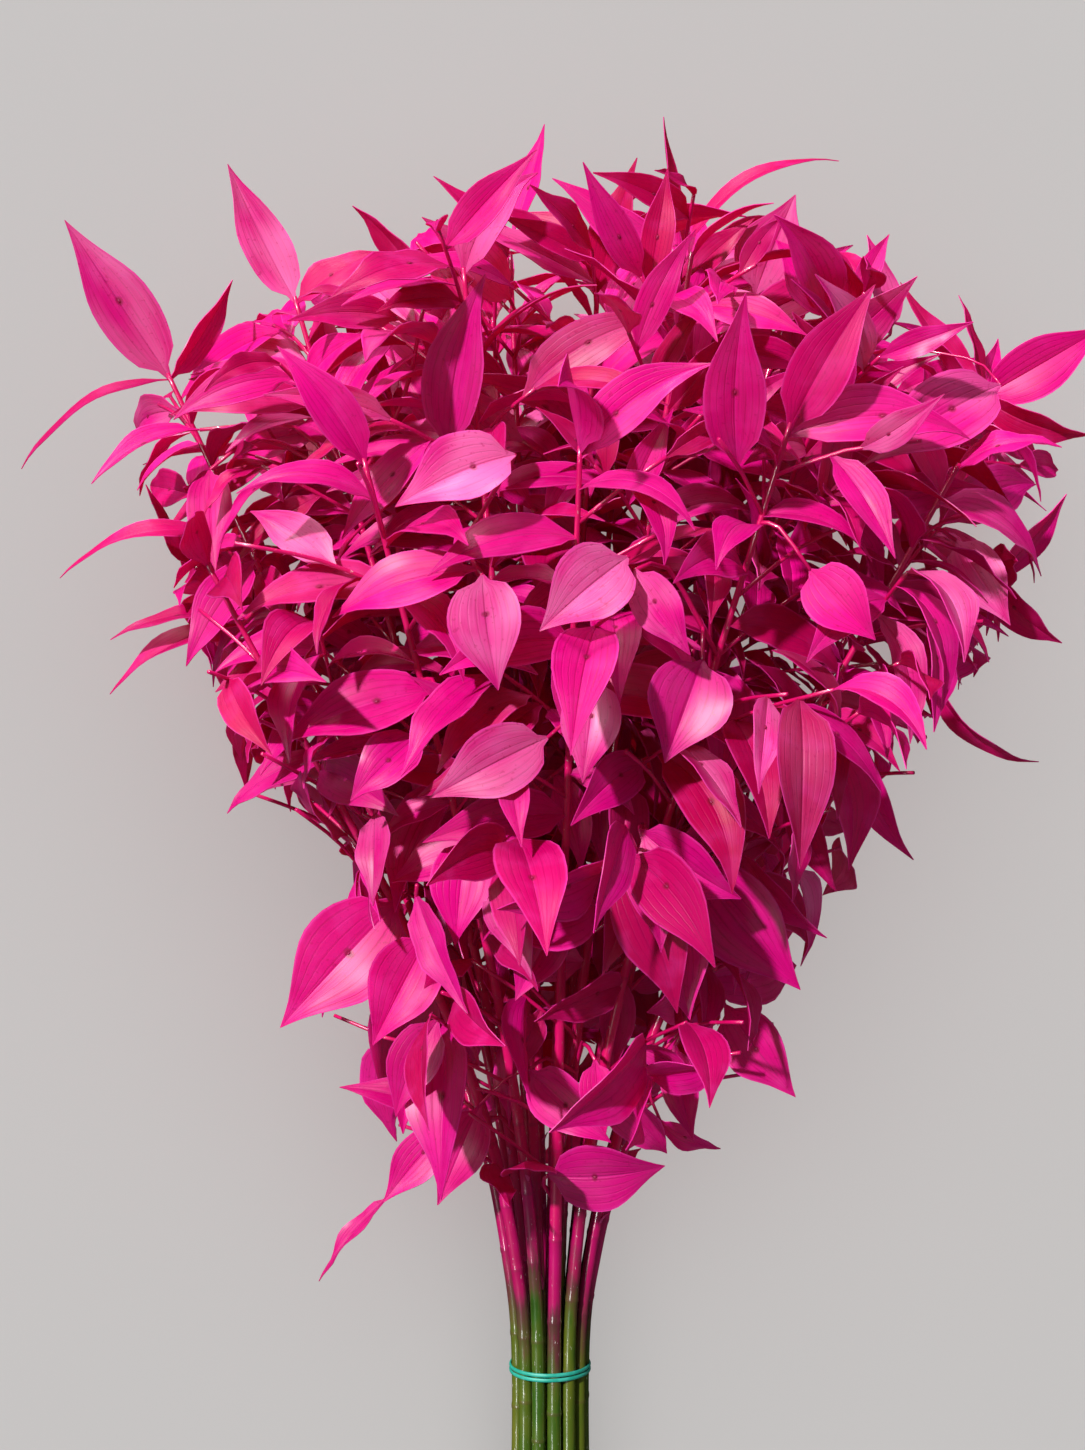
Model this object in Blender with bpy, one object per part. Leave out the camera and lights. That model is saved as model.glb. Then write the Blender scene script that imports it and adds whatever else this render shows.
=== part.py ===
"""A tied bunch of ruscus stems, dyed pink, lying on a flat surface.

Metres, +Z up. The stems point along +Y and the origin is on the surface, under the middle of the bunch.
Each leafy stem is one solid: its main stem, its side twigs and its leaf blades grow into each other. A rubber
band wound twice holds the stems above their cut ends.

The bunch has its own axes, which lean back from the surface: u to the right, v along the stems from the band
to the tips, and w out of the bunch towards whoever looks down on it.
"""

import math
import random
from dataclasses import dataclass

import bmesh
import bpy
import numpy as np
from mathutils import Quaternion, Vector
from mathutils.bvhtree import BVHTree

MM = 0.001

# Main stems
CUT_LENGTH = 112 * MM
CUT_VARIATION = 5 * MM
STEM_RADIUS = 2.35 * MM
STEM_END_RADIUS = 0.95 * MM
STEM_RINGS = ((3, 2.95 * MM, 90), (8, 8.0 * MM, 26), (13, 13.03 * MM, 0))
CUT_SPLAY = 1.12
LEAN = math.radians(12)
STEM_STEPS = 8
KNEE_RISE = 130 * MM
KNEE_SPREAD = 0.44
SHOULDER_SHARE = 0.63
SHOULDER_BULGE = 0.12

# Where each main stem ends, in millimetres as (u, v, w), ring by ring from the middle
STEM_ENDS = (
    (20, 452, 22),
    (-16, 446, -8),
    (54, 448, 2),
    (118, 420, 34),
    (52, 430, 64),
    (-32, 424, 66),
    (-98, 420, 34),
    (-70, 412, -24),
    (-24, 428, -46),
    (34, 434, -50),
    (96, 424, -22),
    (176, 316, 12),
    (150, 352, 66),
    (84, 362, 100),
    (10, 352, 112),
    (-66, 350, 96),
    (-126, 316, 70),
    (-148, 392, 26),
    (-146, 322, -22),
    (-104, 366, -58),
    (-46, 388, -78),
    (24, 392, -84),
    (90, 384, -72),
    (181, 394, -30),
)

# Side twigs
TWIG_RADIUS = 1.15 * MM
TWIG_END_RADIUS = 0.75 * MM
TWIG_TAPER = 0.85
HALF_TWIG_STEPS = 5
TWIG_LENGTHS = (46 * MM, 86 * MM)
TWIG_SPACINGS = (72 * MM, 44 * MM)
TWIG_SPACING_VARIATION = (0.8, 1.25)
LOWEST_TWIGS = (230 * MM, 180 * MM, 100 * MM)
LOWEST_TWIG_VARIATION = 40 * MM
LEAFY_LENGTH = 420 * MM
TWIG_ANGLE = math.radians(46)
TWIG_SWING = math.radians(100)
TWIG_DROOPS = (0.1, 0.5)
GOLDEN_ANGLE = math.radians(137.5)
TWIG_ROOT_SHARE = 0.2

# Twigs that reach out to the leaves placed by eye
LONGEST_REACH = 125 * MM
NEAR_ENOUGH = 3.5 * MM
NEAR_AN_END = 9 * MM
CARRIER_SHARES = (0.3, 0.7)
MOST_CARRIERS = 200
ELBOW_ALONG = 0.14
ELBOW_BACK = 0.18
REACH_ROOT_SHARE = 0.35

# Leaf blades
BLADE_STEPS = 12
SHOWN_STATIONS = (3, 6, 9)
OTHER_STATIONS = (3, 8)
BLADE_LENGTHS = (48 * MM, 68 * MM)
LOW_SLENDERNESS = (0.4, 0.54)
HIGH_SLENDERNESS = (0.29, 0.4)
BLADE_BELLY = 0.65
BLADE_POINT = 1.2
KEEL = 1.1 * MM
KEEL_THINNING = 0.4
FOOT = 0.5 * MM
NECK = 0.75 * MM
NECK_BEYOND_ROOT = 1.4 * MM
CHORD_GAIN = 1.06
TRIANGLE_GAIN = 1.25
SUNK = 2.5 * MM

# How the ruled leaves sit on their twigs: places in runs of the centre line, pulls as shares of their heading
BLADE_PLACES_ON_A_TWIG = (2, 1.55, 1.1, 0.65)
BLADE_PLACES_FROM_AN_END = (0, 0.3, 0.65, 1.05, 1.45, 1.9)
HANDS = (0, 1, -1, 1, -1, 1)
SPLAYS = (30, 62)
PULLS_OUT = (0.15, 0.6)
PULLS_DOWN = (0.15, 0.65)
WANDER = 0.12
FACE_WANDER = 0.35
CURLS = (10, 50)
DROOPS = (10, 60)
SWAY = 22
TWIST = 20
FOLDS = (0.05, 0.2)
CROWN = (330 * MM, 440 * MM)
CROWN_STIFFNESS = 0.75
LOWER_LEAVES = (100 * MM, 350 * MM)

# The surface, and how a piece that reaches it bends to lie along it
EASE = 6 * MM
SETTLED = 0.5 * MM
STEEPEST = 0.98

# Room kept round each piece while the bunch grows, and how often a piece is tried
ROOM = 0.9 * MM
EDGE_ROOM = 0.7 * MM
TRIES = 14
SHOWN_TRIES = 27
SHOWN_WANDER = 0.04
BLADE_SHORTENING = 0.025
TWIG_SHORTENING = 0.04
SHARPEST_TURN = math.radians(40)
FLAT_ENOUGH = math.radians(0.5)

# The rubber band
BAND_RADIUS = 0.7 * MM
BAND_SPREAD = (0.95 * MM, 1.15 * MM)
BAND_POINTS = 44
BAND_CLEARANCE = 0.35 * MM


def bunch_point(u, v, w):
    """A point given in the bunch's own leaning axes."""
    height = (CUT_LENGTH + CUT_VARIATION) * math.sin(LEAN) + STEM_RINGS[-1][1] * CUT_SPLAY + STEM_RADIUS
    along, up = v * math.cos(LEAN) - w * math.sin(LEAN), v * math.sin(LEAN) + w * math.cos(LEAN)
    return Vector((u, along, height + up))


BAND_MIDDLE = bunch_point(0, 0, 0)
ALONG = bunch_point(0, 1, 0) - BAND_MIDDLE
OUTWARD = bunch_point(0, 0, 1) - BAND_MIDDLE
RIGHT = Vector((1, 0, 0))
HANG = -ALONG
HEART = bunch_point(0, 250 * MM, 10 * MM)


@dataclass
class Twig:
    """A main stem or side twig: its centre line from root to end, with its radius at each point."""

    stem: int
    points: list
    radii: list

    def place(self, at):
        """The point and the way ahead at a place: runs from the root, and a share of the next one."""
        run = min(int(at), len(self.points) - 2)
        here, there = self.points[run], self.points[run + 1]
        return here.lerp(there, at - run), (there - here).normalized()

    def number_of_runs(self):
        return len(self.points) - 1

    def radius(self, at):
        run = min(int(at), len(self.points) - 2)
        return self.radii[run] + (self.radii[run + 1] - self.radii[run]) * (at - run)


@dataclass
class Blade:
    """A leaf blade: its centre line, and at each point the way to its edge, its face and its half width."""

    stem: int
    points: list
    sides: list
    faces: list
    halves: list
    fold: float
    stations: tuple = OTHER_STATIONS
    root_radius: float = 0.0
    carrier: object = None


def half_width(share, width):
    """Half the blade's width at a share of its length: rounded foot, broad belly and drawn-out point."""
    if share <= 0 or share >= 1:
        return 0.0
    widest = BLADE_BELLY / (BLADE_BELLY + BLADE_POINT)
    return width / 2 * (share / widest) ** BLADE_BELLY * ((1 - share) / (1 - widest)) ** BLADE_POINT


def stay_above(point, ahead, room):
    """The direction turned so that it meets the surface at an easy angle and then runs along it."""
    steepest = -max(point.z - room, 0) / EASE
    if ahead.z >= steepest:
        return ahead
    level = Vector((ahead.x, ahead.y, 0))
    if level.length < 1 - STEEPEST:
        level = Vector((point.x, point.y - HEART.y, 0))
    level.normalize()
    steepest = max(steepest, -STEEPEST)
    return level * math.sqrt(1 - steepest**2) + Vector((0, 0, steepest))


def turn(vector, axis, angle):
    return Quaternion(axis, angle) @ vector


def grow_blade(stem, base, ahead, face, length, width, curl=0.0, droop=0.0, sway=0.0, twist=0.0, fold=0.12):
    """Grows a blade step by step from its base, bending as it goes."""
    blade = Blade(stem, [], [], [], [], fold)
    point, ahead = base.copy(), ahead.normalized()
    for i in range(BLADE_STEPS + 1):
        side = ahead.cross(face).normalized()
        face = side.cross(ahead)
        half = half_width(i / BLADE_STEPS, width)
        spare = max(point.z - KEEL * max(face.z, 0), 0)
        if half * abs(side.z) > spare:
            side.z = math.copysign(spare / half, side.z)
            side = (side - ahead * side.dot(ahead)).normalized()
            face = side.cross(ahead)
        blade.points.append(point.copy())
        blade.sides.append(side)
        blade.faces.append(face)
        blade.halves.append(half)
        bend = Quaternion(side, -curl / BLADE_STEPS) @ Quaternion(face, sway / BLADE_STEPS)
        bend = bend @ Quaternion(ahead, twist / BLADE_STEPS)
        hang_axis = ahead.cross(HANG)
        if hang_axis.length > 1 - STEEPEST:
            towards_hang = min(droop / BLADE_STEPS, ahead.angle(HANG) * 0.5)
            bend = Quaternion(hang_axis.normalized(), towards_hang) @ bend
        ahead, face = (bend @ ahead).normalized(), bend @ face
        raised = stay_above(point, ahead, KEEL * max(face.z, 0))
        ahead, face = raised, ahead.rotation_difference(raised) @ face
        point = point + ahead * (length / BLADE_STEPS)
        point.z = max(point.z, 0)
    return blade


def twig_radii(root_radius):
    """The radius of a side twig at its root, its bend and its end."""
    thick = min(TWIG_RADIUS, root_radius * TWIG_TAPER)
    thin = min(TWIG_END_RADIUS, thick)
    return [thick, (thick + thin) / 2, thin]


def grow_twig(stem, root, ahead, length, root_radius, droop):
    """Grows a side twig from its root in small steps, sagging towards the way it hung as it dried."""
    point, ahead = root.copy(), ahead.normalized()
    points = [root.copy()]
    for i in range(2 * HALF_TWIG_STEPS):
        ahead = (ahead + HANG * droop / HALF_TWIG_STEPS / 2).normalized()
        ahead = stay_above(point, ahead, 4 * TWIG_RADIUS)
        point = point + ahead * (length / HALF_TWIG_STEPS / 2)
        if (i + 1) % HALF_TWIG_STEPS == 0:
            points.append(point)
    return Twig(stem, points, twig_radii(root_radius))


def ring_solid(rings):
    """Corners and faces of a closed tube through rings of points, each with the same count."""
    count = len(rings[0])
    corners = [corner for ring in rings for corner in ring]
    faces = [tuple(range(count - 1, -1, -1))]
    for i in range(len(rings) - 1):
        for j in range(count):
            k = (j + 1) % count
            faces.append((i * count + j, i * count + k, (i + 1) * count + k, (i + 1) * count + j))
    last = (len(rings) - 1) * count
    faces.append(tuple(range(last, last + count)))
    return corners, faces


def blade_guard(blade, from_step):
    """The space that a blade keeps to itself, from one of its steps on."""
    rings = []
    for i in (from_step, *blade.stations, BLADE_STEPS):
        half = blade.halves[i] + EDGE_ROOM
        point = blade.points[i]
        if i == BLADE_STEPS:
            point = point + (point - blade.points[i - 1]).normalized() * ROOM
        edge, up = blade.sides[i] * half, blade.faces[i]
        rise = up * blade.fold * blade.halves[i]
        above, below = point + up * ROOM, point - up * (ROOM + KEEL)
        rings.append((point + edge + rise, above, point - edge + rise, below))
    return ring_solid(rings)


def twig_guard(twig, from_place):
    """The space that a twig keeps to itself, from a place on it to its end."""
    rings = []
    for at in [from_place] + [i for i in range(len(twig.points)) if i > from_place]:
        point, ahead = twig.place(at)
        across = ahead.cross(RIGHT + OUTWARD * 0.3).normalized()
        other = ahead.cross(across).normalized()
        reach = (twig.radius(at) + 0.5 * ROOM) * 1.3
        across, other = across * reach, other * reach
        rings.append((point + across, point + other, point - across, point - other))
    return ring_solid(rings)


class Thicket:
    """Everything that has grown so far, so that a new piece can be kept clear of it."""

    def __init__(self):
        self.centres = np.zeros((0, 3))
        self.reaches = np.zeros(0)
        self.trees = []
        self.owners = []

    def measure(self, guard):
        corners = np.array([tuple(c) for c in guard[0]])
        centre = corners.mean(axis=0)
        return centre, float(np.linalg.norm(corners - centre, axis=1).max())

    def is_clear(self, guard, kin=None):
        """Whether a guard meets nothing, or only pieces of its own stem, if that is given as its kin."""
        centre, reach = self.measure(guard)
        near = np.nonzero(np.linalg.norm(self.centres - centre, axis=1) < self.reaches + reach)[0]
        tree = BVHTree.FromPolygons(*guard)
        return not any(self.owners[i] != kin and self.trees[i].overlap(tree) for i in near)

    def has_room_for_blade(self, blade):
        whole, beyond_foot = blade_guard(blade, 0), blade_guard(blade, 1)
        if not self.is_clear(beyond_foot) or not self.is_clear(whole, kin=blade.stem):
            return False
        return not folds_onto_itself(blade)

    def has_room_for_twig(self, twig, from_place):
        whole, beyond_root = twig_guard(twig, 0), twig_guard(twig, from_place)
        return self.is_clear(beyond_root) and self.is_clear(whole, kin=twig.stem)

    def add(self, guard, owner):
        self.owners.append(owner)
        centre, reach = self.measure(guard)
        self.centres = np.vstack([self.centres, centre])
        self.reaches = np.append(self.reaches, reach)
        self.trees.append(BVHTree.FromPolygons(*guard))


def stem_paths():
    """The centre line of every main stem, from its cut end through the band and out to its tip."""
    paths = []
    for count, ring, first in STEM_RINGS:
        for k in range(count):
            angle = math.radians(first + 360 / count * k)
            u, w = ring * math.cos(angle), ring * math.sin(angle)
            variation = random.Random(f"cut {len(paths)}").uniform(-CUT_VARIATION, CUT_VARIATION)
            start = bunch_point(u * CUT_SPLAY, -CUT_LENGTH - variation, w * CUT_SPLAY)
            band = bunch_point(u, 0, w)
            end = bunch_point(*(x * MM for x in STEM_ENDS[len(paths)]))
            knee = band + ALONG * KNEE_RISE + (band - BAND_MIDDLE) * KNEE_SPREAD
            aside = (end - band) - (end - band).project(ALONG)
            shoulder = band.lerp(end, SHOULDER_SHARE) - aside * SHOULDER_BULGE
            points = [start]
            for i in range(STEM_STEPS + 1):
                t = i / STEM_STEPS
                near_band = band * (1 - t) ** 3 + knee * 3 * t * (1 - t) ** 2
                points.append(near_band + shoulder * 3 * t**2 * (1 - t) + end * t**3)
            paths.append(points)
    return paths


# Leaves that give the bunch its outline and its front, in millimetres as the viewer sees them at the middle's
# depth: base (u, v), tip (u, v), the w of each, width, and in degrees the roll from facing the viewer and curl
SHOWN_BLADES = (
    # The left shoulder
    ((-155, 402), (-194, 458), 26, 40, 24, 10, 12),
    ((-146, 396), (-138, 441), 26, 30, 12, 50, 20),
    ((-148, 391), (-213, 361), 26, 34, 13, 62, 60),
    ((-140, 374), (-184, 354), 34, 50, 14, 50, 50),
    ((-136, 358), (-134, 318), 34, 52, 18, 5, 30),
    ((-102, 424), (-129, 480), 34, 44, 19, 15, -25),
    ((-102, 420), (-72, 453), 30, 40, 18, -40, 35),
    ((-128, 330), (-197, 318), 0, 0, 15, 60, 70),
    ((-118, 322), (-146, 280), 30, 40, 19, 20, 35),
    ((-124, 296), (-177, 270), 10, 14, 14, 55, 50),
    ((-122, 297), (-176, 292), 10, 24, 13, 60, 50),
    ((-92, 288), (-134, 270), 30, 44, 20, 40, 30),
    # The crown
    ((-50, 426), (-78, 464), 66, 70, 15, -55, -45),
    ((-18, 452), (-46, 476), -8, 0, 13, 40, 30),
    ((-15, 453), (-2, 496), -8, -4, 17, -50, -15),
    ((-16, 426), (-50, 459), 20, 60, 20, 15, 40),
    ((20, 454), (22, 486), 22, 22, 11, 60, 10),
    ((21, 450), (44, 480), 22, 24, 13, -40, 20),
    ((54, 450), (45, 499), 2, 6, 11, 62, -15),
    ((56, 448), (114, 485), 2, 2, 13, -58, 75),
    ((82, 428), (98, 468), 10, 24, 27, -10, 20),
    ((116, 420), (111, 460), 34, 40, 22, 15, 10),
    ((136, 412), (127, 452), 0, 4, 15, 30, 10),
    ((176, 392), (164, 428), -30, -28, 11, 55, 20),
    ((178, 392), (175, 446), -30, -28, 16, 35, -10),
    ((176, 390), (206, 434), -30, -20, 24, 0, 20),
    # The right shoulder
    ((180, 392), (126, 361), 56, 74, 28, 12, 40),
    ((178, 384), (216, 372), -28, -28, 16, 50, 60),
    ((172, 318), (207, 348), 12, 14, 14, 40, 20),
    ((176, 316), (204, 288), 12, 16, 15, 45, 60),
    ((162, 330), (184, 296), 40, 48, 20, 10, 30),
    ((152, 276), (194, 239), 6, 4, 10, 62, 75),
    ((118, 262), (144, 201), 34, 30, 18, 42, 55),
    ((104, 318), (130, 290), 96, 104, 22, 10, 35),
    ((96, 232), (114, 189), 20, 22, 15, 30, 40),
    # The front
    ((-14, 364), (-62, 344), 112, 120, 26, 18, 45),
    ((31, 323), (-4, 294), 116, 128, 27, 8, 40),
    ((-27, 316), (-21, 270), 112, 118, 26, 10, 40),
    ((-30, 317), (-88, 300), 106, 100, 22, 30, 45),
    ((34, 318), (56, 284), 112, 116, 17, 10, 35),
    ((61, 282), (46, 241), 96, 104, 30, 0, 35),
    ((19, 275), (13, 233), 104, 110, 21, 5, 35),
    ((-46, 270), (-108, 250), 80, 84, 26, 30, 45),
    ((-1, 251), (-48, 227), 96, 102, 25, 5, 40),
    ((-52, 252), (-80, 226), 82, 92, 20, 20, 35),
    ((-74, 232), (-102, 208), 40, 44, 20, 35, 40),
    ((-88, 244), (-130, 222), 24, 26, 16, 45, 60),
    ((36, 214), (76, 186), 70, 78, 24, 20, 45),
    ((58, 200), (100, 150), 44, 54, 32, 8, 25),
    ((44, 190), (56, 138), 66, 74, 27, 0, 30),
    ((76, 206), (110, 170), 40, 42, 14, 45, 40),
    ((-33, 211), (-38, 168), 66, 74, 23, 5, 30),
    ((-28, 206), (-66, 206), 60, 58, 20, 40, 30),
    ((20, 184), (-24, 173), 66, 72, 31, 20, 50),
    ((-60, 186), (-108, 135), 40, 50, 37, 5, 25),
    ((-48, 172), (-71, 128), 46, 56, 27, 5, 30),
    ((5, 180), (-14, 146), 54, 60, 20, 15, 30),
    # Above the band
    ((70, 144), (98, 107), 24, 30, 24, 15, 30),
    ((18, 122), (22, 92), 48, 52, 14, 10, 20),
    ((50, 128), (57, 90), 36, 40, 15, 20, 35),
    ((-8, 118), (24, 89), 36, 48, 21, 5, 40),
    ((-1, 76), (46, 79), 30, 34, 28, 15, 45),
    ((44, 98), (68, 86), 16, 18, 12, 40, 40),
    ((-40, 100), (-84, 112), 10, 12, 15, 40, 45),
    ((-28, 104), (-45, 64), 28, 34, 20, 5, 20),
    ((-41, 96), (-67, 65), 12, 16, 18, 15, 25),
    ((-64, 68), (-93, 34), 6, 6, 8, 55, 25),
)
VIEW_DISTANCE = 805 * MM
VIEW_CENTRE = (-3 * MM, 256 * MM)

# The outline that all the other leaves stay within, in millimetres as the viewer sees it: v, left u, right u
OUTLINE = (
    (54, -20, 20),
    (66, -52, 36),
    (90, -66, 62),
    (126, -70, 88),
    (146, -104, 100),
    (166, -100, 104),
    (206, -78, 124),
    (228, -122, 140),
    (266, -132, 164),
    (306, -154, 196),
    (366, -172, 206),
    (402, -146, 206),
    (426, -104, 166),
    (450, -56, 128),
    (478, -20, 60),
    (492, 0, 20),
)


def seen_place(point):
    """Where the viewer sees a point, as (u, v) in millimetres of the plane through the band's middle."""
    from_band = point - BAND_MIDDLE
    farther = VIEW_DISTANCE / (VIEW_DISTANCE - from_band.dot(OUTWARD))
    u = VIEW_CENTRE[0] + (from_band.dot(RIGHT) - VIEW_CENTRE[0]) * farther
    v = VIEW_CENTRE[1] + (from_band.dot(ALONG) - VIEW_CENTRE[1]) * farther
    return u / MM, v / MM


def is_within_outline(points):
    heights = [row[0] for row in OUTLINE]
    for point in points:
        u, v = seen_place(point)
        left = np.interp(v, heights, [row[1] for row in OUTLINE])
        right = np.interp(v, heights, [row[2] for row in OUTLINE])
        if not (left < u < right and heights[0] < v < heights[-1]):
            return False
    return True


def seen_point(u, v, w):
    """The point at depth w that the viewer sees at (u, v) of the plane through the band's middle."""
    nearer = (VIEW_DISTANCE - w * MM) / VIEW_DISTANCE
    real_u = VIEW_CENTRE[0] + (u * MM - VIEW_CENTRE[0]) * nearer
    real_v = VIEW_CENTRE[1] + (v * MM - VIEW_CENTRE[1]) * nearer
    return bunch_point(real_u, real_v, w * MM)


class Bunch:
    """The whole bunch as it grows: main stems, then the leaves that show most, then the others by rule."""

    def __init__(self):
        self.thicket = Thicket()
        self.stems = []
        self.twigs = []
        self.ruled_twigs = []
        self.blades = []
        self.grow_stems()
        self.grow_shown_blades()
        self.grow_ends()
        self.grow_twigs()
        self.grow_twig_blades()

    def grow_stems(self):
        for number, points in enumerate(stem_paths()):
            last = len(points) - 1
            taper = STEM_RADIUS - STEM_END_RADIUS
            radii = [STEM_RADIUS - taper * max(0, (i - 1) / (last - 1)) for i in range(last + 1)]
            stem = Twig(number, points, radii)
            self.stems.append(stem)
            for i in range(last):
                self.thicket.add(twig_guard(Twig(number, points[i : i + 2], radii[i : i + 2]), 0), number)

    def keep_twig(self, twig):
        self.twigs.append(twig)
        self.thicket.add(twig_guard(twig, 0), twig.stem)

    def keep_blade(self, blade):
        self.blades.append(blade)
        self.thicket.add(blade_guard(blade, 0), blade.stem)

    def carrier_of(self, base, toward):
        """What carries a leaf at base: its stem, with a point and radius, or the twig that reaches out to it."""
        for stem in self.stems:
            end, along = stem.place(stem.number_of_runs())
            if (base - end).length < NEAR_AN_END:
                return stem.stem, end - along * SUNK, stem.radii[-1], None
        found = []
        for twig in self.stems + self.twigs:
            first = 2 if twig in self.stems else 0
            for run in range(first, twig.number_of_runs()):
                for share in CARRIER_SHARES:
                    here, along = twig.place(run + share)
                    out = base - here
                    if out.length < NEAR_ENOUGH:
                        return twig.stem, here, twig.radius(run + share), None
                    cost = out.length * (1 + 1.2 * abs(out.angle(along) - TWIG_ANGLE))
                    found.append((cost, len(found), twig, run + share))
        for _, _, twig, at in sorted(found)[:MOST_CARRIERS]:
            here, along = twig.place(at)
            reach = (base - here).length
            elbow = here.lerp(base, 0.5) + (along * ELBOW_ALONG - toward * ELBOW_BACK) * reach
            elbow.z = max(elbow.z, 4 * TWIG_RADIUS)
            branch = Twig(twig.stem, [here, elbow, base], twig_radii(twig.radius(at)))
            if reach < LONGEST_REACH and self.thicket.has_room_for_twig(branch, REACH_ROOT_SHARE):
                return twig.stem, None, 0.0, branch
        return None

    def grow_shown_blades(self):
        for number, (base, tip, base_w, tip_w, width, roll, curl) in enumerate(SHOWN_BLADES):
            root, end = seen_point(*base, base_w), seen_point(*tip, tip_w)
            root.z = max(root.z, 3 * TWIG_RADIUS)
            carrier = self.carrier_of(root, (end - root).normalized())
            if carrier is None:
                continue
            stem, joint, root_radius, branch = carrier
            root = joint if joint is not None else root
            chord = end - root
            toward = chord.normalized()
            face = turn((OUTWARD - toward * OUTWARD.dot(toward)).normalized(), toward, math.radians(roll))
            bow = math.radians(curl)
            length = chord.length * (bow / 2 / math.sin(bow / 2) if bow else 1)
            side = toward.cross(face)
            start, facing = turn(toward, side, bow / 2), turn(face, side, bow / 2)
            for attempt in range(SHOWN_TRIES):
                draw = random.Random(f"shown {number} {attempt}")
                spread = SHOWN_WANDER * attempt
                ahead = start + Vector([draw.uniform(-spread, spread) for _ in range(3)])
                blade = grow_blade(stem, root, ahead, facing, length, width * MM, curl=bow)
                blade.stations = SHOWN_STATIONS
                blade.root_radius = root_radius
                blade.carrier = branch
                if self.thicket.has_room_for_blade(blade):
                    if branch is not None:
                        self.keep_twig(branch)
                    self.keep_blade(blade)
                    break

    def way_out(self, point):
        """The way out of the bunch's heart at a point."""
        return (point - HEART).normalized()

    def try_blade(self, name, twig, place, hand):
        """Tries a few blades at a place on a twig, and keeps the first that has room."""
        at, along = twig.place(place)
        if twig in self.stems and place == twig.number_of_runs():
            at = at - along * SUNK
        out = self.way_out(at)
        height = (at - BAND_MIDDLE).dot(ALONG)
        crown = float(np.interp(height, CROWN, (0, 1)))
        rise = float(np.interp(height, LOWER_LEAVES, (0, 1)))
        up = (out * 0.75 + ALONG * 0.5 + OUTWARD * 0.25).normalized()
        side = along.cross(up).normalized() * hand
        for attempt in range(TRIES):
            draw = random.Random(f"{name} {attempt}")
            splay = math.radians(draw.uniform(*SPLAYS)) if hand else 0
            ahead = along * math.cos(splay) + side * math.sin(splay)
            ahead += out * draw.uniform(*PULLS_OUT) - ALONG * (1 - crown) * draw.uniform(*PULLS_DOWN)
            wander = WANDER * (1 + attempt * 0.3)
            ahead += Vector([draw.uniform(-wander, wander) for _ in range(3)])
            ahead.normalize()
            face = up + Vector([draw.uniform(-FACE_WANDER, FACE_WANDER) for _ in range(3)])
            face = (face - ahead * face.dot(ahead)).normalized()
            length = draw.uniform(*BLADE_LENGTHS) * (1 - BLADE_SHORTENING * attempt)
            slenderness = draw.uniform(*LOW_SLENDERNESS) * (1 - rise) + draw.uniform(*HIGH_SLENDERNESS) * rise
            blade = grow_blade(
                twig.stem,
                at,
                ahead,
                face,
                length,
                length * slenderness,
                curl=math.radians(draw.uniform(*CURLS)),
                droop=math.radians(draw.uniform(*DROOPS)) * (1 - CROWN_STIFFNESS * crown),
                sway=math.radians(draw.uniform(-SWAY, SWAY)),
                twist=math.radians(draw.uniform(-TWIST, TWIST)),
                fold=draw.uniform(*FOLDS),
            )
            blade.root_radius = twig.radius(place)
            if at == twig.points[-1] and twig not in self.stems:
                blade.carrier = twig
            if is_within_outline(blade.points[4:]) and self.thicket.has_room_for_blade(blade):
                self.keep_blade(blade)
                return

    def grow_ends(self):
        """The leaves along the last stretch of each main stem."""
        for number, stem in enumerate(self.stems):
            for k, back in enumerate(BLADE_PLACES_FROM_AN_END):
                place = stem.number_of_runs() - back
                self.try_blade(f"end {number} {k}", stem, place, HANDS[k] * (-1) ** number)

    def grow_twigs(self):
        """Side twigs up each main stem, turned on by the golden angle and kept to the outside."""
        lowest_twigs = [lowest for ring, lowest in zip(STEM_RINGS, LOWEST_TWIGS) for _ in range(ring[0])]
        for number, stem in enumerate(self.stems):
            draw = random.Random(f"twigs {number}")
            next_at = lowest_twigs[number] + draw.uniform(0, LOWEST_TWIG_VARIATION)
            travelled, count = 0.0, 0
            for i in range(4 * STEM_STEPS - 5):
                here, along = stem.place(1 + (i + 0.5) / 4)
                travelled += (here - stem.place(1 + (i - 0.5) / 4)[0]).length if i else 0
                if travelled < next_at:
                    continue
                self.try_twig(stem, here, along, number, count, draw)
                count += 1
                spacing = float(np.interp(travelled, (0, LEAFY_LENGTH), TWIG_SPACINGS))
                next_at = travelled + spacing * draw.uniform(*TWIG_SPACING_VARIATION)

    def try_twig(self, stem, here, along, number, count, draw):
        """Tries a few side twigs at a place on a main stem, and keeps the first that has room."""
        middle = BAND_MIDDLE + (here - BAND_MIDDLE).project(ALONG)
        out = here - middle
        out = (out - along * out.dot(along)).normalized()
        for attempt in range(TRIES):
            swing = math.sin(GOLDEN_ANGLE * (count + attempt * 0.7 + number)) * TWIG_SWING
            aside = turn(out, along, swing)
            ahead = along * math.cos(TWIG_ANGLE) + aside * math.sin(TWIG_ANGLE)
            length = draw.uniform(*TWIG_LENGTHS) * (1 - TWIG_SHORTENING * attempt)
            twig = grow_twig(stem.stem, here, ahead, length, stem.radii[-1], draw.uniform(*TWIG_DROOPS))
            if is_within_outline(twig.points[-1:]) and self.thicket.has_room_for_twig(twig, TWIG_ROOT_SHARE):
                self.keep_twig(twig)
                self.ruled_twigs.append(twig)
                return

    def grow_twig_blades(self):
        """Leaves on each side twig, from its end down, left and right in turn."""
        for k, place in enumerate(BLADE_PLACES_ON_A_TWIG):
            for number, twig in enumerate(self.ruled_twigs):
                self.try_blade(f"twig {number} {k}", twig, place, HANDS[k] * (-1) ** number)


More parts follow.
